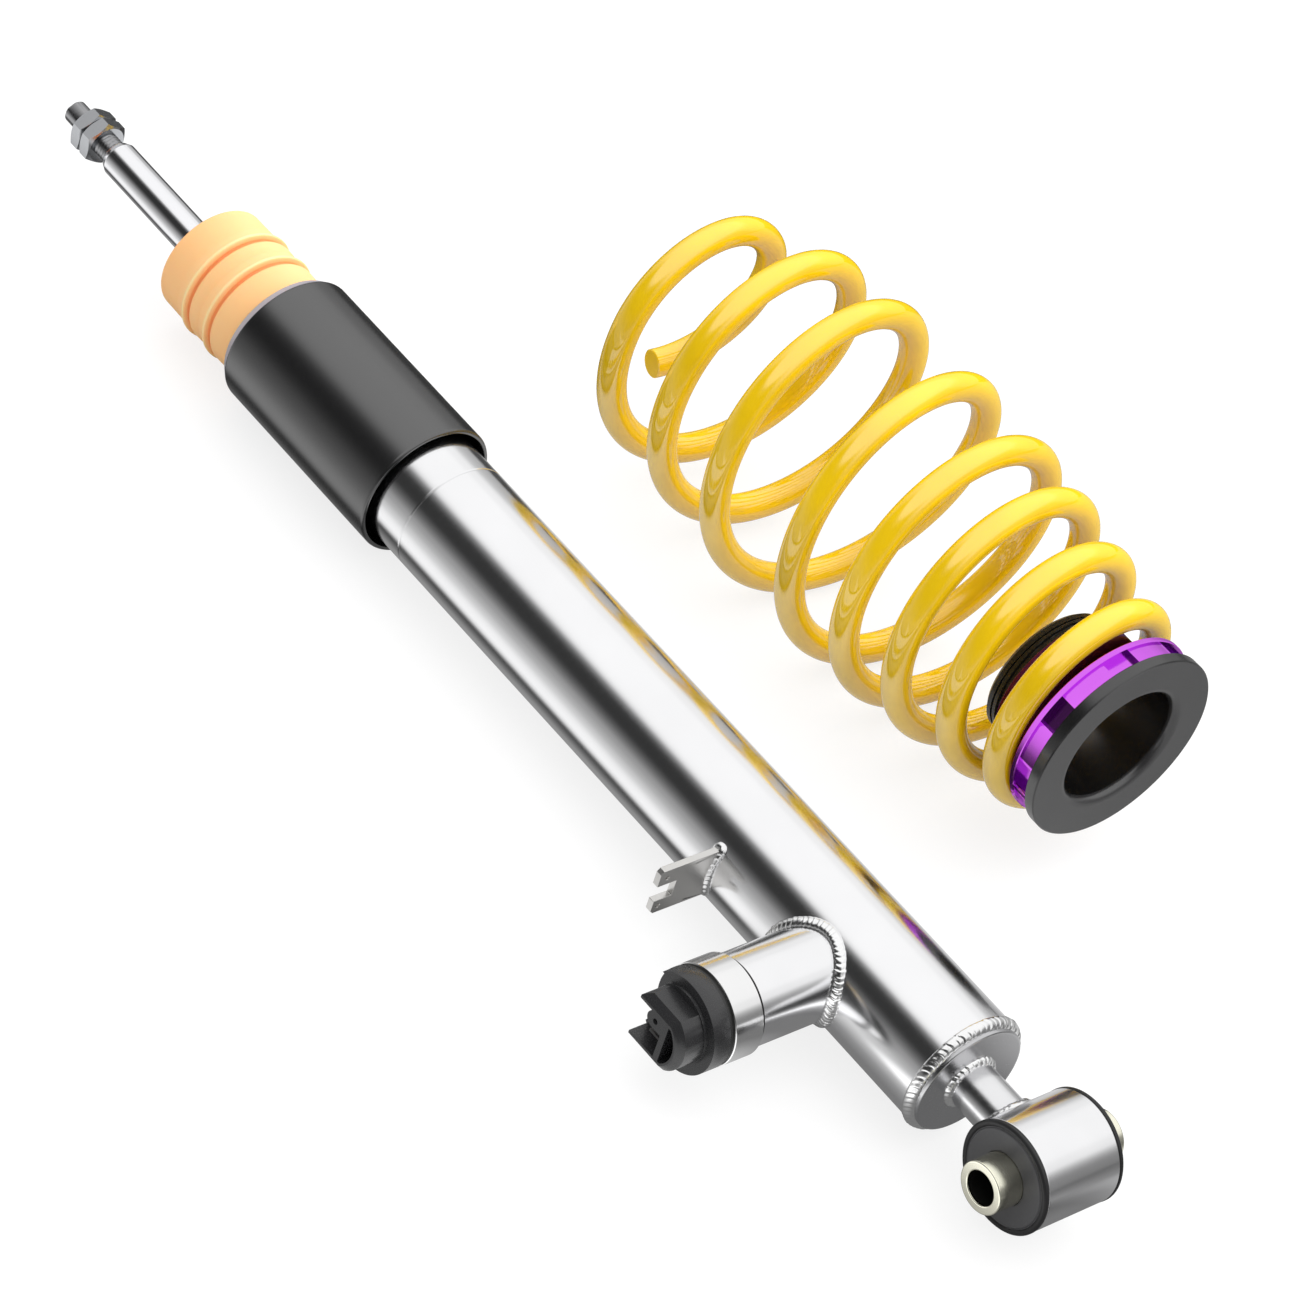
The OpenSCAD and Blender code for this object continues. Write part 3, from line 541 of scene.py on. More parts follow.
# ---------------------------------------------------------------- turned pieces
def make_tube():
    """Damper tube with the fine closing seam near its upper end."""
    seam = TUBE_END - SEAM_DROP
    seam_half = 0.35 * MM
    seam_depth = 0.3 * MM
    profile = [
        (TUBE_START, TUBE_R - TUBE_WALL), (TUBE_START, TUBE_R),
        (seam - seam_half, TUBE_R), (seam, TUBE_R - seam_depth), (seam + seam_half, TUBE_R),
        (TUBE_END, TUBE_R), (TUBE_END, TUBE_R - TUBE_WALL),
    ]
    obj = lathe("tube_skin", profile, AXIS_X, ORIGIN, polished_steel, 0.15 * MM, 256)
    place(obj, "damper_body", "polished_steel", "outer_tube")


def make_bottom_cap():
    """Cap with a rounded edge, whose plug narrows a little into the tube."""
    lip_r = min(high("bottom_cap").z, TUBE_R - 1.4 * MM)
    plug_end = TUBE_START + 4 * MM
    profile = [
        (CAP_FACE, 0), (CAP_FACE, lip_r), (TUBE_START, lip_r), (plug_end, lip_r - 1 * MM), (plug_end, 0),
    ]
    obj = lathe("cap_face", profile, AXIS_X, ORIGIN, ground_steel, 0.9 * MM, closed=False)
    place(obj, "damper_body", "brushed_steel", "bottom_cap")


def make_eye():
    """Eye ring, the rubber that laps over it with a double rim, and the inner sleeve."""
    inside = EYE_R - EYE_WALL
    ring = [(-EYE_HALF, inside), (-EYE_HALF, EYE_R), (EYE_HALF, EYE_R), (EYE_HALF, inside)]
    obj = lathe("eye_shell", ring, AXIS_Y, ORIGIN, eye_steel, 0.35 * MM)
    place(obj, "damper_body", "brushed_steel", "eye_ring")

    lap = high("bush_rubber").z
    face = high("bush_rubber").y
    core = high("bush_sleeve").z
    clear = 0.05 * MM
    channel_in = lap - 2.9 * MM
    channel_out = lap - 1.75 * MM
    channel_slope = 0.45 * MM
    channel_floor = face - 0.55 * MM
    edge = 0.7 * MM
    outline = []
    for side in (-1, 1):
        rim = [
            (side * face * 0.999, core + clear), (side * face, core + clear + 0.8 * MM),
            (side * face, channel_in), (side * channel_floor, channel_in + channel_slope),
            (side * channel_floor, channel_out - channel_slope), (side * face, channel_out),
            (side * face, lap - edge), (side * (face - edge), lap),
            (side * (EYE_HALF + 0.35 * MM), lap), (side * EYE_HALF, lap - 0.3 * MM),
            (side * EYE_HALF, inside),
        ]
        outline += rim if side < 0 else rim[::-1]
    obj = lathe("eye_rubber", outline, AXIS_Y, ORIGIN, rubber, 0.25 * MM)
    place(obj, "damper_body", "bush_rubber", "bush_rubber")

    end = high("bush_sleeve").y
    sleeve = [(-end, BOLT_BORE_R), (-end, core), (end, core), (end, BOLT_BORE_R)]
    obj = lathe("eye_sleeve", sleeve, AXIS_Y, ORIGIN, zinc, 0.5 * MM)
    place(obj, "bush_core", "zinc", "bush_sleeve")
    # Painted shade: a near-black lining just inside the sleeve's bore.
    lining_end = end - 1 * MM
    lining = [(-lining_end, BOLT_BORE_R - clear), (lining_end, BOLT_BORE_R - clear)]
    obj = lathe("eye_bore", lining, AXIS_Y, ORIGIN, shade_and_seal_black, segments=96, closed=False)
    place(obj, "bush_core", "seal_rubber")


def make_valve():
    """Side tube and its collar, with a near-black lining as painted shade in the groove before the collar,
    and a dark seal behind it.
    """
    centre = Vector((VALVE_X, 0, 0))
    wall = 2.0 * MM
    groove = 1.8 * MM
    groove_r = min(VALVE_R, COLLAR_R) - 0.9 * MM
    bore = groove_r - wall
    start = low("valve_tube").y
    tube_end = COLLAR_START - groove
    face = COLLAR_END - 1.0 * MM
    edge = 0.3 * MM
    seal_r = COLLAR_R - 0.7 * MM
    lining = [(tube_end - wall, groove_r), (COLLAR_START + wall, groove_r)]
    seal = [(face, bore), (face, seal_r), (COLLAR_END, seal_r), (COLLAR_END, bore)]
    tube = [(start, bore), (start, VALVE_R), (tube_end, VALVE_R), (tube_end, bore)]
    collar = [
        (COLLAR_START, bore), (COLLAR_START, COLLAR_R), (face - edge, COLLAR_R),
        (face, COLLAR_R - edge), (face, bore),
    ]
    # Painted shade: a near-black lining down in the groove.
    obj = lathe("valve_groove", lining, AXIS_Y, centre, shade_and_seal_black, closed=False)
    place(obj, "damper_body", "seal_rubber")
    obj = lathe("valve_seal", seal, AXIS_Y, centre, shade_and_seal_black)
    place(obj, "damper_body", "seal_rubber")
    obj = lathe("valve_shell", tube, AXIS_Y, centre, polished_valve, sharp_deg=30)
    place(obj, "damper_body", "tube_steel", "valve_tube")
    obj = lathe("valve_band", collar, AXIS_Y, centre, collar_steel, sharp_deg=30)
    place(obj, "damper_body", "brushed_steel", "valve_collar")


def make_dust_sleeve():
    """Dust sleeve, with a pale ring on the long chamfer at its open end as a painted highlight."""
    start = low("dust_sleeve").x
    end = high("dust_sleeve").x
    radius = high("dust_sleeve").z
    inside = radius - DUST_WALL
    mouth = BUMP_R - 0.8 * MM
    lip_start = end - 5 * MM
    chamfer_len = 3.6 * MM
    chamfer_drop = 1.9 * MM
    edge = 0.3 * MM
    profile = [
        (start, inside + 0.2 * MM), (start, radius - 0.5 * MM), (start + 0.7 * MM, radius),
        (end - chamfer_len, radius), (end - edge, radius - chamfer_drop), (end, radius - 2.3 * MM),
        (end, mouth), (lip_start, mouth), (lip_start, inside),
    ]
    obj = lathe("dust_cover", profile, AXIS_X, ORIGIN, sleeve_black, 0.35 * MM, 224, sharp_deg=50)
    place(obj, "boot", "sleeve_plastic", "dust_sleeve")
    # The pale ring on the chamfer is a painted highlight.
    rim_start = end - chamfer_len + edge
    rim = [
        (rim_start, radius - 0.09 * MM), (end - edge, radius - chamfer_drop + 0.1 * MM),
        (end - 0.1 * MM, radius - 2.4 * MM), (rim_start, radius - 0.6 * MM),
    ]
    obj = lathe("sleeve_rim", rim, AXIS_X, ORIGIN, painted_rim_highlight, segments=224)
    place(obj, "boot", "sleeve_plastic")


# One rib of the bump stop from its free side: mm from the crest, and height as a share of RIB_H
RIB_OUTLINE = [
    (5.0, 0.1), (1.6, 0.55), (0.9, 0.98), (0.0, 1.0), (-0.4, 0.5),
    (-0.9, -0.75), (-1.9, -0.75), (-2.3, 0.0), (-3.2, 0.35), (-6.0, 0.3),
]


def make_bump_stop():
    """Foam with two ribs: each swells to a lip, then drops into a narrow groove towards the sleeve."""
    start = low("bump_stop").x
    top = high("bump_stop").x
    edge = 0.9 * MM
    bore = ROD_R + 0.05 * MM
    bore_edge = 1.0 * MM
    necked = BUMP_R - 1.0 * MM
    profile = [(top - 1.2 * MM, bore), (top, bore + bore_edge), (top, BUMP_R - edge), (top - edge, BUMP_R)]
    for crest in (top - 17 * MM, top - 30.3 * MM):
        profile += [(crest + along * MM, BUMP_R + rise * RIB_H) for along, rise in RIB_OUTLINE]
    profile += [
        (top - 44.5 * MM, BUMP_R + 0.1 * MM), (top - 46.2 * MM, necked), (start, necked), (start, bore),
    ]
    obj = lathe("foam_stop", profile, AXIS_X, ORIGIN, foam, 0.5 * MM, 224, sharp_deg=80)
    place(obj, "boot", "foam", "bump_stop")


# ---------------------------------------------------------------- threads
def tooth(phase, root_share, flank_share):
    """Height from 0 at the root to 1 at the crest of a thread, phase turns along its pitch."""
    rise = 1 - abs(2 * (phase % 1.0) - 1)
    return min(1.0, max(0.0, (rise - root_share) / flank_share))


def vee_tooth(phase):
    """Rounded vee thread."""
    return tooth(phase, 0.12, 0.72)


def broad_tooth(phase):
    """Thread with flat crests and narrow flat-bottomed grooves."""
    return tooth(phase, 0.3, 0.2)


def threaded(name, start, end, crest_r, depth, pitch, centre, material,
             run_in, tooth_at, around_steps, pitch_steps):
    """Helical thread round X, fading out over run_in at each end. The surface is open at both ends."""
    bm = bmesh.new()
    rows = int((end - start) / pitch * pitch_steps)
    rings = []
    for i in range(rows + 1):
        x = start + (end - start) * i / rows
        fade = max(0.0, min(1.0, (x - start) / run_in, (end - x) / run_in))
        ring = []
        for k in range(around_steps):
            turn = k / around_steps
            radius = crest_r - depth * (1 - tooth_at(x / pitch - turn) * fade)
            ring.append(bm.verts.new(centre + AXIS_X * x + around(2 * math.pi * turn) * radius))
        rings.append(ring)
    skin(bm, rings)
    return finish_mesh(name, bm, material, 40)


def make_rod():
    """Chrome rod, its threaded stud and the plain tip with two flats."""
    root_r = STUD_R - STUD_THREAD_DEPTH
    shoulder = high("bump_stop").x + BARE_LEN
    bottom = low("piston_rod").x
    piston_end = high("piston").x
    bar = [
        (bottom, 0), (bottom, STUD_R), (piston_end, STUD_R), (piston_end, ROD_R),
        (shoulder - 2.5 * MM, ROD_R), (shoulder, ROD_R - 1.0 * MM), (shoulder, root_r), (shoulder, 0),
    ]
    obj = lathe("rod_bar", bar, AXIS_X, ORIGIN, chrome, 0.25 * MM, 160, closed=False, sharp_deg=40)
    place(obj, "rod", "rod_chrome", "piston_rod")

    tip = high("piston_rod").x
    tip_start = tip - 8.7 * MM
    obj = threaded(
        "rod_thread", shoulder, tip_start, STUD_R, STUD_THREAD_DEPTH, STUD_PITCH, ORIGIN, stud_steel,
        run_in=STUD_PITCH, tooth_at=vee_tooth, around_steps=72, pitch_steps=8)
    place(obj, "rod", "zinc_nut")

    tip_r = 4.6 * MM
    chamfer = 0.6 * MM
    half_flats = 3.7 * MM
    away = around(math.radians(57))
    steps = 96
    profile = [(tip_start, root_r), (tip_start, tip_r), (tip - chamfer, tip_r), (tip, tip_r - chamfer)]
    bm = bmesh.new()
    rings = []
    for x, radius in profile:
        ring = []
        for k in range(steps):
            spot = around(2 * math.pi * k / steps) * radius
            reach = spot.dot(away)
            if x > tip_start and abs(reach) > half_flats:
                spot -= away * (reach - math.copysign(half_flats, reach))
            ring.append(bm.verts.new(spot + AXIS_X * x))
        rings.append(ring)
    skin(bm, rings)
    bm.faces.new(rings[-1])
    obj = finish_mesh("rod_tip", bm, stud_steel, 35)
    place(obj, "rod", "zinc_nut")


def make_nut(node_name, piece_name):
    """Hexagon nut with both faces chamfered, turned as the CAD node is."""
    corner = max((v.co for v in NODES[node_name].data.vertices), key=lambda p: math.hypot(p.y, p.z))
    turn = math.atan2(corner.z, corner.y)
    apothem = math.hypot(corner.y, corner.z) * math.cos(math.pi / 6)
    face_r = apothem * 0.93
    face_slope = math.tan(math.radians(30))
    bore = STUD_R - STUD_THREAD_DEPTH + 0.05 * MM
    edge = 0.5 * MM
    start = low(node_name).x
    end = high(node_name).x
    per_side = 14
    count = 6 * per_side
    bm = bmesh.new()
    rings = [[] for _ in range(8)]
    for k in range(count):
        part = (k % per_side) / per_side
        radius = apothem / math.cos(math.pi / 3 * part - math.pi / 6)
        drop = (radius - face_r) * face_slope
        out = around(turn + 2 * math.pi * k / count)
        spots = [
            (start + edge, bore), (start, bore + edge), (start, face_r), (start + drop, radius),
            (end - drop, radius), (end, face_r), (end, bore + edge), (end - edge, bore),
        ]
        for ring, (x, r) in zip(rings, spots):
            ring.append(bm.verts.new(AXIS_X * x + out * r))
    skin(bm, rings, endless=True)
    obj = finish_mesh(piece_name, bm, nut_zinc, 20)
    place(obj, "rod", "zinc_nut", node_name)


def make_nut_gap():
    """Dark ring between the two chamfered nuts, painted shade in their joint."""
    joint = (high("lower_nut").x + low("upper_nut").x) / 2
    half = 0.7 * MM
    radius = 7.8 * MM
    ring = [(joint - half, STUD_R), (joint - half, radius), (joint + half, radius), (joint + half, STUD_R)]
    obj = lathe("nut_gap", ring, AXIS_X, ORIGIN, shade_and_seal_black, segments=96)
    place(obj, "rod", "seal_rubber")


def make_perch():
    """Spring perch: foot disc, rounded bore mouth and the threaded barrel with a plain end."""
    centre = Vector((0, PERCH_AXIS.y, PERCH_AXIS.z))
    mouth = 3.0 * MM
    foot_edge = 0.4 * MM
    rim_edge = 0.5 * MM
    chamfer = 1.4 * MM
    root_r = PERCH_THREAD_R - PERCH_THREAD_DEPTH
    foot_top = PERCH_X + FOOT_T
    end = high("perch").x
    thread_end = end - 3.2 * MM
    foot = [
        (foot_top, root_r), (foot_top, FOOT_R - foot_edge), (foot_top - foot_edge, FOOT_R),
        (PERCH_X + rim_edge, FOOT_R), (PERCH_X, FOOT_R - rim_edge),
    ]
    for degrees in range(0, 91, 10):
        a = math.radians(degrees)
        foot.append((PERCH_X + mouth * (1 - math.cos(a)), PERCH_BORE_R + mouth * (1 - math.sin(a))))
    wall = [foot[-1], (end - foot_edge, PERCH_BORE_R)]
    barrel = [
        wall[-1], (end, PERCH_BORE_R + foot_edge), (end, PERCH_THREAD_R - chamfer),
        (end - chamfer, PERCH_THREAD_R), (thread_end, PERCH_THREAD_R), (thread_end, root_r),
    ]
    obj = lathe("perch_foot", foot, AXIS_X, centre, black_aluminium, 0.0, 224, closed=False, sharp_deg=30)
    place(obj, "damper_body", "black_aluminium", "perch")
    obj = lathe("perch_bore", wall, AXIS_X, centre, bore_shaded_black, 0.0, 224, closed=False)
    place(obj, "damper_body", "black_aluminium")
    obj = lathe("perch_barrel", barrel, AXIS_X, centre, barrel_black, 0.0, 224, closed=False, sharp_deg=30)
    place(obj, "damper_body", "black_aluminium")
    obj = threaded(
        "perch_thread", foot_top, thread_end, PERCH_THREAD_R, PERCH_THREAD_DEPTH, PERCH_PITCH, centre,
        barrel_black, run_in=0.5 * MM, tooth_at=broad_tooth, around_steps=128, pitch_steps=20)
    place(obj, "damper_body", "black_aluminium")


# ---------------------------------------------------------------- weld beads
def weld_bead(name, path, length, width, height, pitch, seed, *replaced):
    """Flat bead of overlapping crescents round a closed path. path(t) gives its middle and the way out."""
    coins = round(length / pitch)
    per_coin = 9
    steps = coins * per_coin
    around_steps = 28
    crescent = 0.75  # how far the sides of a coin trail its middle, in coins
    bm = bmesh.new()
    rings = []
    for i in range(steps):
        t = i / steps
        here, out = path(t)
        along = (path(t + 0.5 / steps)[0] - path(t - 0.5 / steps)[0]).normalized()
        out = (out - along * out.dot(along)).normalized()
        across = along.cross(out)
        wander = 0.25 * noise.noise(Vector((i * 0.13, 7.0, seed)))
        ring = []
        for k in range(around_steps):
            turn = 2 * math.pi * k / around_steps
            side = math.sin(turn)
            lead = i / per_coin + crescent * side * side + wander
            coin = math.floor(lead)
            part = lead - coin
            fill = noise.noise(Vector(((coin % coins) * 1.7 + seed, 3.1, 0.5)))
            # each coin is thickest where it starts, just past a fine dip, and thins towards the next
            rise = height * (1 + 0.14 * fill + 0.26 * (1 - part) - 0.18 * math.exp(-part * 12))
            reach = width / 2 * (1 + 0.05 * fill + 0.03 * (1 - part))
            ring.append(bm.verts.new(here + out * (math.cos(turn) * rise) + across * (side * reach)))
        rings.append(ring)
    skin(bm, rings, endless=True)
    obj = finish_mesh(name, bm, weld_metal, 60)
    place(obj, "damper_body", "weld_metal", *replaced)


def cap_path(t):
    out = around(2 * math.pi * t)
    return AXIS_X * (TUBE_START - 0.2 * MM) + out * (TUBE_R - 0.95 * MM), out - AXIS_X * 0.9


def neck_path(t):
    out = around(2 * math.pi * t)
    return AXIS_X * (CAP_FACE + 0.2 * MM) + out * (NECK_R - 0.1 * MM), out - AXIS_X


def eye_path(t):
    """Where the neck meets the round eye ring."""
    out = around(2 * math.pi * t)
    x = math.sqrt(EYE_R ** 2 - (NECK_R * out.z) ** 2) - 0.1 * MM
    return AXIS_X * x + out * NECK_R, out + AXIS_X


def on_tube(x, z):
    """Point of the tube's surface on the side of the valve."""
    return Vector((x, math.sqrt(TUBE_R ** 2 - z ** 2) + 0.1 * MM, z))


def valve_path(t):
    """Where the side tube meets the damper tube."""
    out = around(2 * math.pi * t, AXIS_X, AXIS_Z)
    spot = out * (VALVE_R + 0.5 * MM)
    return on_tube(VALVE_X + spot.x, spot.z), Vector((out.x, 0.8, out.z + spot.z / TUBE_R))


def make_bracket_weld():
    """Bead round the foot of the cable bracket, which is a thin oblong."""
    start = low("cable_bracket")
    end = high("cable_bracket")
    corners = [(start.x, start.z), (start.x, end.z), (end.x, end.z), (end.x, start.z)]
    loop = round_corners(corners, 1.2 * MM, True, 5)
    sides = [(loop[(i + 1) % len(loop)] - loop[i]).length for i in range(len(loop))]
    length = sum(sides)
    flare = 0.8 / MM  # how fast the bead leans out from the middle of the plate

    def plate_path(t):
        left = (t % 1.0) * length
        i = 0
        while left > sides[i]:
            left -= sides[i]
            i += 1
        x, z = loop[i].lerp(loop[(i + 1) % len(loop)], left / sides[i])
        return on_tube(x, z), Vector(((x - (start.x + end.x) / 2) * flare, 1, z / TUBE_R))

    weld_bead("weld_bracket", plate_path, length, 3.6 * MM, 1.3 * MM, 2.1 * MM, 80, "bracket_weld")


def make_welds():
    """All beads, each with its length, width, height, pitch and seed."""
    round_tube = 2 * math.pi * TUBE_R
    round_neck = 2 * math.pi * NECK_R
    round_valve = 2.2 * math.pi * VALVE_R
    weld_bead("weld_cap", cap_path, round_tube, 4.9 * MM, 1.35 * MM, 2.3 * MM, 0, "cap_weld")
    weld_bead("weld_neck", neck_path, round_neck, 4.6 * MM, 1.7 * MM, 1.9 * MM, 20, "neck_welds")
    weld_bead("weld_eye", eye_path, round_neck, 3.6 * MM, 1.3 * MM, 1.9 * MM, 40)
    weld_bead("weld_valve", valve_path, round_valve, 5.0 * MM, 1.75 * MM, 1.75 * MM, 60, "valve_weld")
    make_bracket_weld()


# ---------------------------------------------------------------- spring, with the coil of the CAD source
PAINT_R = WIRE_R - 0.05 * MM
TURNS = 8.07
START_TURN = math.radians(-118)
SEAT_R = 37.4 * MM
BODY_R = 51.9 * MM
UPPER_DROP = 4.4 * MM
END_DROP = 11.0 * MM
DEAD_PITCH = 3.0 * MM
SOFT_PITCH = 24.5 * MM
TOP_PITCH = 31.9 * MM
OPEN_RISE = 14.3 * MM
END_RISE = 6.0 * MM
LEAN_IN = math.tan(math.radians(1.0))
LEAN_UP = math.tan(math.radians(1.2))

# Places along the coil, in turns from the perch
SOFT_FROM, SOFT_OVER = 0.2, 0.5
TOP_FROM, TOP_OVER = 3.5, 2.0
OPEN_AT, OPEN_SPREAD = 4.77, 1.22
GROW_FROM, GROW_OVER = 0.5, 4.56
DROP_FROM, DROP_OVER = 5.25, 1.8
END_FROM, END_OVER = 7.38, 0.34


def ease(u):
    """Smooth step from 0 to 1."""
    c = min(1.0, max(0.0, u))
    return c * c * (3 - 2 * c)


def swell(u):
    """Smooth hump of height 1 between -1 and 1."""
    return math.cos(math.pi / 2 * u) ** 2 if abs(u) < 1 else 0.0


def pitch_at(t):
    """Rise per turn, t turns from the perch."""
    soft = (SOFT_PITCH - DEAD_PITCH) * ease((t - SOFT_FROM) / SOFT_OVER)
    top = (TOP_PITCH - SOFT_PITCH) * ease((t - TOP_FROM) / TOP_OVER)
    opened = OPEN_RISE * swell((t - OPEN_AT) / OPEN_SPREAD)
    last = END_RISE * ease((t - END_FROM) / (2 * END_OVER))
    return DEAD_PITCH + soft + top + opened + last


def coil_radius(t):
    """Radius of the coil, t turns from the perch."""
    grow = math.sin(math.pi / 2 * min(1.0, max(0.0, (t - GROW_FROM) / GROW_OVER)))
    drop = UPPER_DROP * ease((t - DROP_FROM) / DROP_OVER) + END_DROP * ease((t - END_FROM) / END_OVER)
    return SEAT_R + (BODY_R - SEAT_R) * grow - drop


def make_spring():
    """Barrel spring swept along the same coil as the CAD solid, with a cut face at each end."""
    last = 1400
    sides = 32
    bevel = 0.35 * MM
    step = TURNS / last
    x = high("adjuster_ring").x - BOSS_LEN + AIR_GAP + WIRE_R
    path = []
    for i in range(last + 1):
        out = around(START_TURN + 2 * math.pi * i * step)
        lean = Vector((0, LEAN_IN, LEAN_UP)) * (x - PERCH_X)
        path.append(Vector((x, PERCH_AXIS.y, PERCH_AXIS.z)) + out * coil_radius(i * step) + lean)
        x += step * pitch_at((i + 0.5) * step)
    bm = bmesh.new()
    rings = []
    spots = [(0, PAINT_R - bevel, 0.0), (0, PAINT_R, bevel)]
    spots += [(i, PAINT_R, 0.0) for i in range(1, last)]
    spots += [(last, PAINT_R, -bevel), (last, PAINT_R - bevel, 0.0)]
    for i, radius, shift in spots:
        along = (path[min(last, i + 1)] - path[max(0, i - 1)]).normalized()
        out = around(START_TURN + 2 * math.pi * i * step)
        out = (out - along * out.dot(along)).normalized()
        across = along.cross(out)
        here = path[i] + along * shift
        turns = [2 * math.pi * k / sides for k in range(sides)]
        rings.append([bm.verts.new(here + around(turn, out, across) * radius) for turn in turns])
    skin(bm, rings)
    bm.faces.new(rings[0])
    bm.faces.new(rings[-1])
    obj = finish_mesh("spring_wire", bm, spring_paint, 40)
    place(obj, "spring", "spring_paint", "coil_spring")


# ---------------------------------------------------------------- softer edges on the CAD nodes that stay
def soften(node_name, width):
    """Rounds the sharp edges of a CAD node a little, without touching its own mesh."""
    obj = NODES[node_name]
    weld = obj.modifiers.new("join", "WELD")
    weld.merge_threshold = 0.002 * MM
    edge = obj.modifiers.new("edge", "BEVEL")
    edge.width = width
    edge.segments = 2
    edge.limit_method = "ANGLE"
    edge.angle_limit = math.radians(28)
    edge.use_clamp_overlap = True
    edge.harden_normals = True


make_tube()
make_bottom_cap()
make_eye()
make_valve()
make_dust_sleeve()
make_bump_stop()
make_rod()
make_nut("lower_nut", "nut_lower")
make_nut("upper_nut", "nut_upper")
make_nut_gap()
make_perch()
make_welds()
make_spring()
soften("adjuster_ring", 0.2 * MM)
soften("connector_cap", 0.22 * MM)
soften("cable_bracket", 0.2 * MM)

# ---------------------------------------------------------------- camera, floor and light
IMAGE = 1296
FOCAL_PX = 5690.12
SENSOR_MM = 36.0
CAMERA_TARGET = Vector((247.15 * MM, -26.44 * MM, 0))
CAMERA_DISTANCE = 1963.35 * MM
CAMERA_AZIMUTH = math.radians(219.831)
CAMERA_ELEVATION = math.radians(40.2626)
CAMERA_ROLL = math.radians(18.6791)

# Bands of the floor, along X or Y, across which the painted shadow and light in its mirror image on the
# steel change
BESIDE_VALVE_X = (0.09, 0.15)
BY_ROD_X = (0.36, 0.40)
PAST_BUMP_X = (0.48, 0.52)
OFF_EYE_X = (-0.09, -0.03)
BY_EYE_X = (0.07, 0.09)
BEHIND_Y = (-0.06, -0.04)
BEFORE_Y = (0.05, 0.065)
FARTHEST = 0.4


def make_camera():
    """Camera at the photograph's viewing angle, rolled about its line of sight."""
    data = bpy.data.cameras.new("camera")
    data.sensor_width = SENSOR_MM
    data.lens = FOCAL_PX / IMAGE * SENSOR_MM
    obj = new_object("camera", data)
    flat = around(CAMERA_AZIMUTH, -AXIS_Y, AXIS_X)
    back = around(CAMERA_ELEVATION, flat, AXIS_Z)
    right = AXIS_Z.cross(back).normalized()
    up = back.cross(right)
    turn = Matrix((around(CAMERA_ROLL, right, up), around(CAMERA_ROLL, up, -right), back)).transposed()
    obj.matrix_world = Matrix.Translation(CAMERA_TARGET + back * CAMERA_DISTANCE) @ turn.to_4x4()
    bpy.context.scene.camera = obj


def make_floor():
    """White floor that keeps soft shadows. Reflections see a glow on it with painted shadow, darker under
    and behind the damper, past the eye and far away, and painted light beside the eye on the +Y side.
    """
    half = 6.0
    centre = Vector((0.26, -0.05, FLOOR_Z))
    mesh = bpy.data.meshes.new("floor")
    corners = [centre + Vector((x * half, y * half, 0)) for x, y in ((-1, -1), (1, -1), (1, 1), (-1, 1))]
    mesh.from_pydata(corners, [], [(0, 1, 2, 3)])
    obj = new_object("floor", mesh)
    mat, tree, shader = start_material("floor")
    mesh.materials.append(mat)
    shader.inputs["Base Color"].default_value = (0.66, 0.66, 0.66, 1)
    shader.inputs["Roughness"].default_value = 0.9
    shader.inputs["Specular IOR Level"].default_value = 0.0

    shade = node(tree, "ShaderNodeBsdfDiffuse", Color=(0.22, 0.22, 0.22, 1))
    glow = node(tree, "ShaderNodeEmission", Color=(0.80, 0.80, 0.80, 1), Strength=1.0)
    white = node(tree, "ShaderNodeAddShader")
    tree.links.new(shade.outputs[0], white.inputs[0])
    tree.links.new(glow.outputs[0], white.inputs[1])

    spot = parts_of(tree, coords(tree))
    narrowing = value_range(tree, spot["X"], PAST_BUMP_X, (0.0, 0.016))
    sideways = calc(tree, "ADD", calc(tree, "ABSOLUTE", spot["Y"]), narrowing)
    spread = value_range(tree, sideways, (0.0, FARTHEST), (0.0, 1.0))
    # Painted shadow for reflections: a dark strip along the damper, and dimming far away.
    painted_shadow_by_tube = ramp(tree, spread, [
        (0.0, 0.34), (0.048, 0.28), (0.064, 0.14), (0.078, 0.05), (0.086, 0.25), (0.096, 0.8),
        (0.112, 1.0), (0.15, 0.94), (0.21, 0.68), (0.375, 0.46), (1.0, 0.34),
    ])
    painted_shadow_by_eye = ramp(tree, spread, [
        (0.0, 0.2), (0.06, 0.2), (0.09, 0.3), (0.12, 0.5), (0.16, 0.68), (0.21, 0.6),
        (0.375, 0.45), (1.0, 0.34),
    ])
    past_eye = value_range(tree, spot["X"], BESIDE_VALVE_X, (0.0, 1.0))
    painted_floor_glow = node(tree, "ShaderNodeEmission")
    tree.links.new(mix_colours(tree, past_eye, painted_shadow_by_eye, painted_shadow_by_tube), painted_floor_glow.inputs["Color"])

    # Painted shadow behind the rod and past the eye, and painted light beside the eye on the +Y side.
    by_rod = value_range(tree, spot["X"], BY_ROD_X, (0.0, 1.0))
    behind = value_range(tree, spot["Y"], BEHIND_Y, (1.0, 0.0))
    painted_shadow_behind_rod = value_range(tree, calc(tree, "MULTIPLY", by_rod, behind), (0.0, 1.0), (1.0, 0.16))
    painted_dim_off_eye = value_range(tree, spot["X"], OFF_EYE_X, (0.42, 1.0))
    before = value_range(tree, spot["Y"], BEFORE_Y, (0.0, 1.2))
    beside_eye = value_range(tree, spot["X"], BY_EYE_X, (1.0, 0.0))
    painted_light_beside_eye = calc(tree, "MULTIPLY_ADD", before, beside_eye, 1.0)
    painted_shadows = calc(tree, "MULTIPLY", painted_shadow_behind_rod, painted_dim_off_eye)
    tree.links.new(calc(tree, "MULTIPLY", painted_shadows, painted_light_beside_eye), painted_floor_glow.inputs["Strength"])

    path = node(tree, "ShaderNodeLightPath")
    for_metal = mix_shaders(tree, path.outputs["Is Glossy Ray"], shader.outputs[0], painted_floor_glow.outputs[0])
    for_camera = mix_shaders(tree, path.outputs["Is Camera Ray"], for_metal, white.outputs[0])
    tree.links.new(for_camera, tree.nodes["Material Output"].inputs["Surface"])


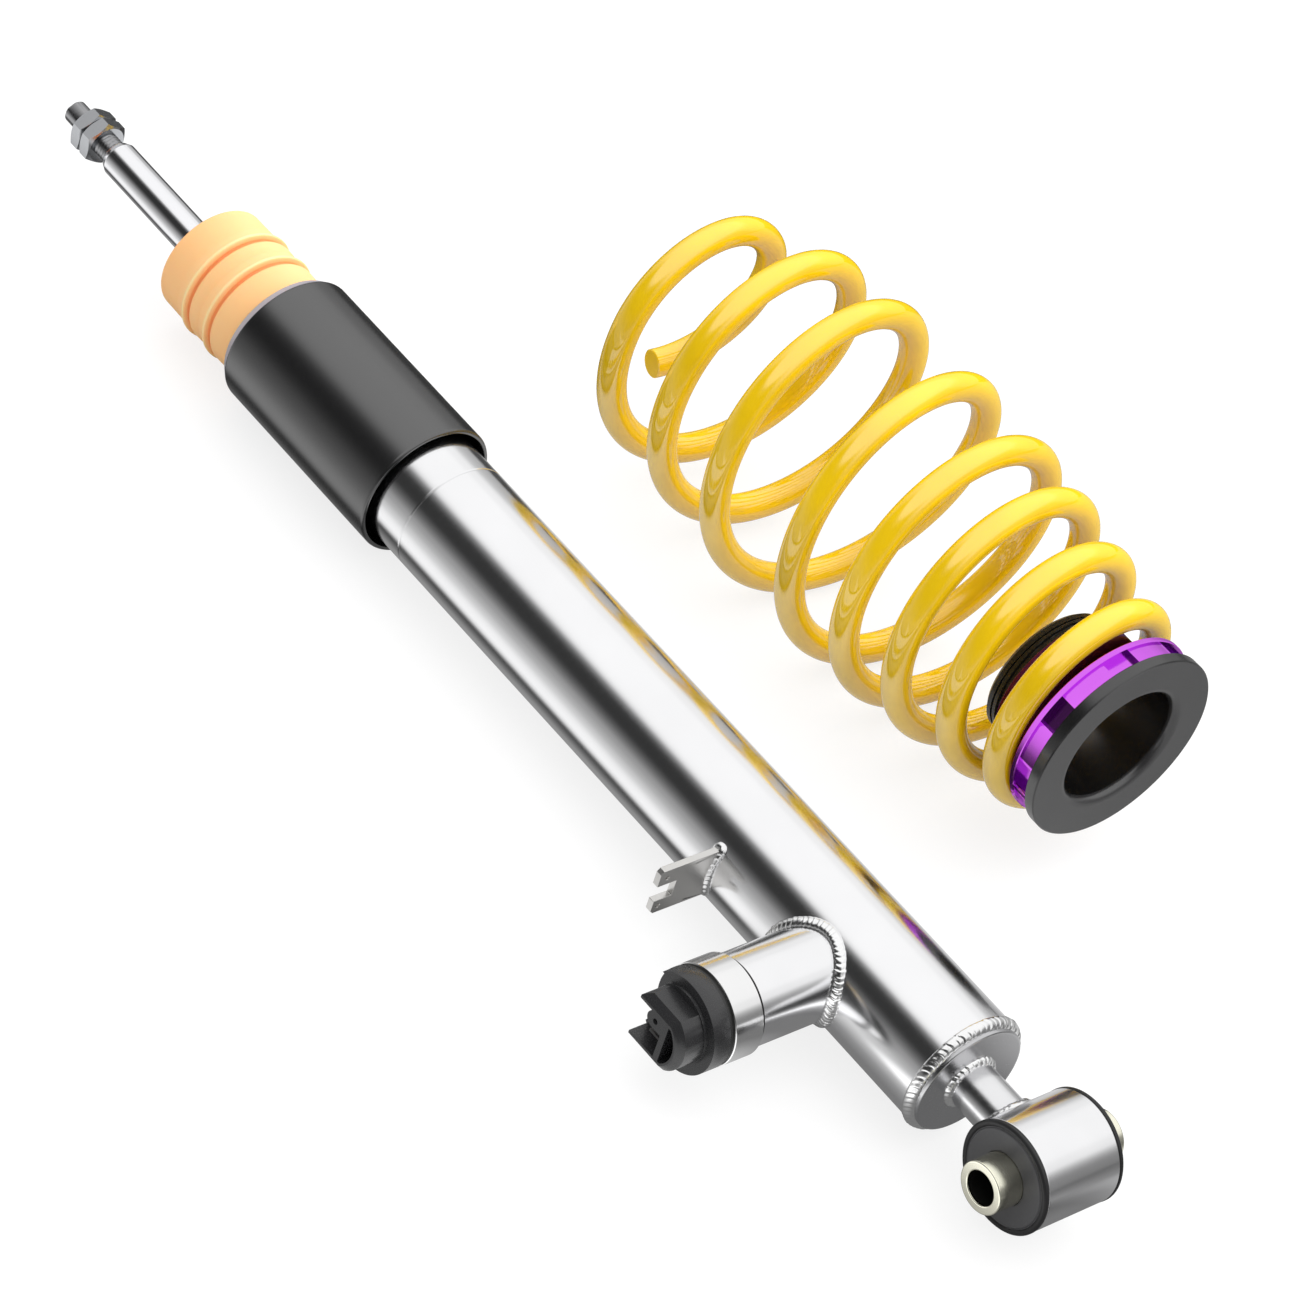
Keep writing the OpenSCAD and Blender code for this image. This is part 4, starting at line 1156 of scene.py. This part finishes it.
def make_world():
    """Studio: a broad soft box overhead, and walls that are darker towards +Y and low down towards -X."""
    world = bpy.data.worlds.new("studio")
    bpy.context.scene.world = world
    world.use_nodes = True
    tree = world.node_tree
    direction = node(tree, "ShaderNodeTexCoord").outputs["Generated"]
    towards = parts_of(tree, direction)
    height = value_range(tree, towards["Z"], (-1.0, 1.0), (0.0, 1.0))
    dark_side = ramp(tree, height, [
        (0.0, 0.9), (0.30, 0.55), (0.50, 0.32), (0.55, 0.20), (0.60, 0.11), (0.67, 0.032),
        (0.80, 0.028), (0.84, 0.14), (0.855, 0.34), (0.875, 0.86), (0.90, 1.0), (1.0, 1.0),
    ])
    pale_side = ramp(tree, height, [
        (0.0, 0.9), (0.30, 0.6), (0.50, 0.42), (0.60, 0.48), (0.68, 0.58), (0.74, 0.92),
        (0.80, 0.9), (0.83, 1.0), (1.0, 1.0),
    ])
    to_pale = value_range(tree, towards["Y"], (0.05, 0.42), (1.0, 0.0))
    walls = mix_colours(tree, to_pale, dark_side, pale_side)
    high_up = value_range(tree, towards["Z"], (0.25, 0.5), (0.5, 1.0))
    not_left = value_range(tree, towards["X"], (-0.6, -0.3), (0.0, 1.0))
    seen_in_gloss = mix_colours(tree, 1.0, walls, calc(tree, "MAXIMUM", high_up, not_left), "MULTIPLY")

    facing = node(tree, "ShaderNodeVectorMath", operation="DOT_PRODUCT")
    tree.links.new(direction, facing.inputs[0])
    facing.inputs[1].default_value = Vector((0.03, -0.73, 0.68)).normalized()
    light = ramp(tree, value_range(tree, facing.outputs["Value"], (-1.0, 1.0), (0.0, 1.0)), [
        (0.0, 0.60), (0.45, 0.70), (0.60, 1.05), (0.75, 1.75), (1.0, 2.8),
    ])
    path = node(tree, "ShaderNodeLightPath")
    for_object = mix_colours(tree, path.outputs["Is Diffuse Ray"], seen_in_gloss, light)
    shown = mix_colours(tree, path.outputs["Is Camera Ray"], for_object, (1, 1, 1, 1))
    tree.links.new(shown, tree.nodes["Background"].inputs["Color"])


make_camera()
make_floor()
make_world()
bpy.context.scene.view_settings.view_transform = "Standard"
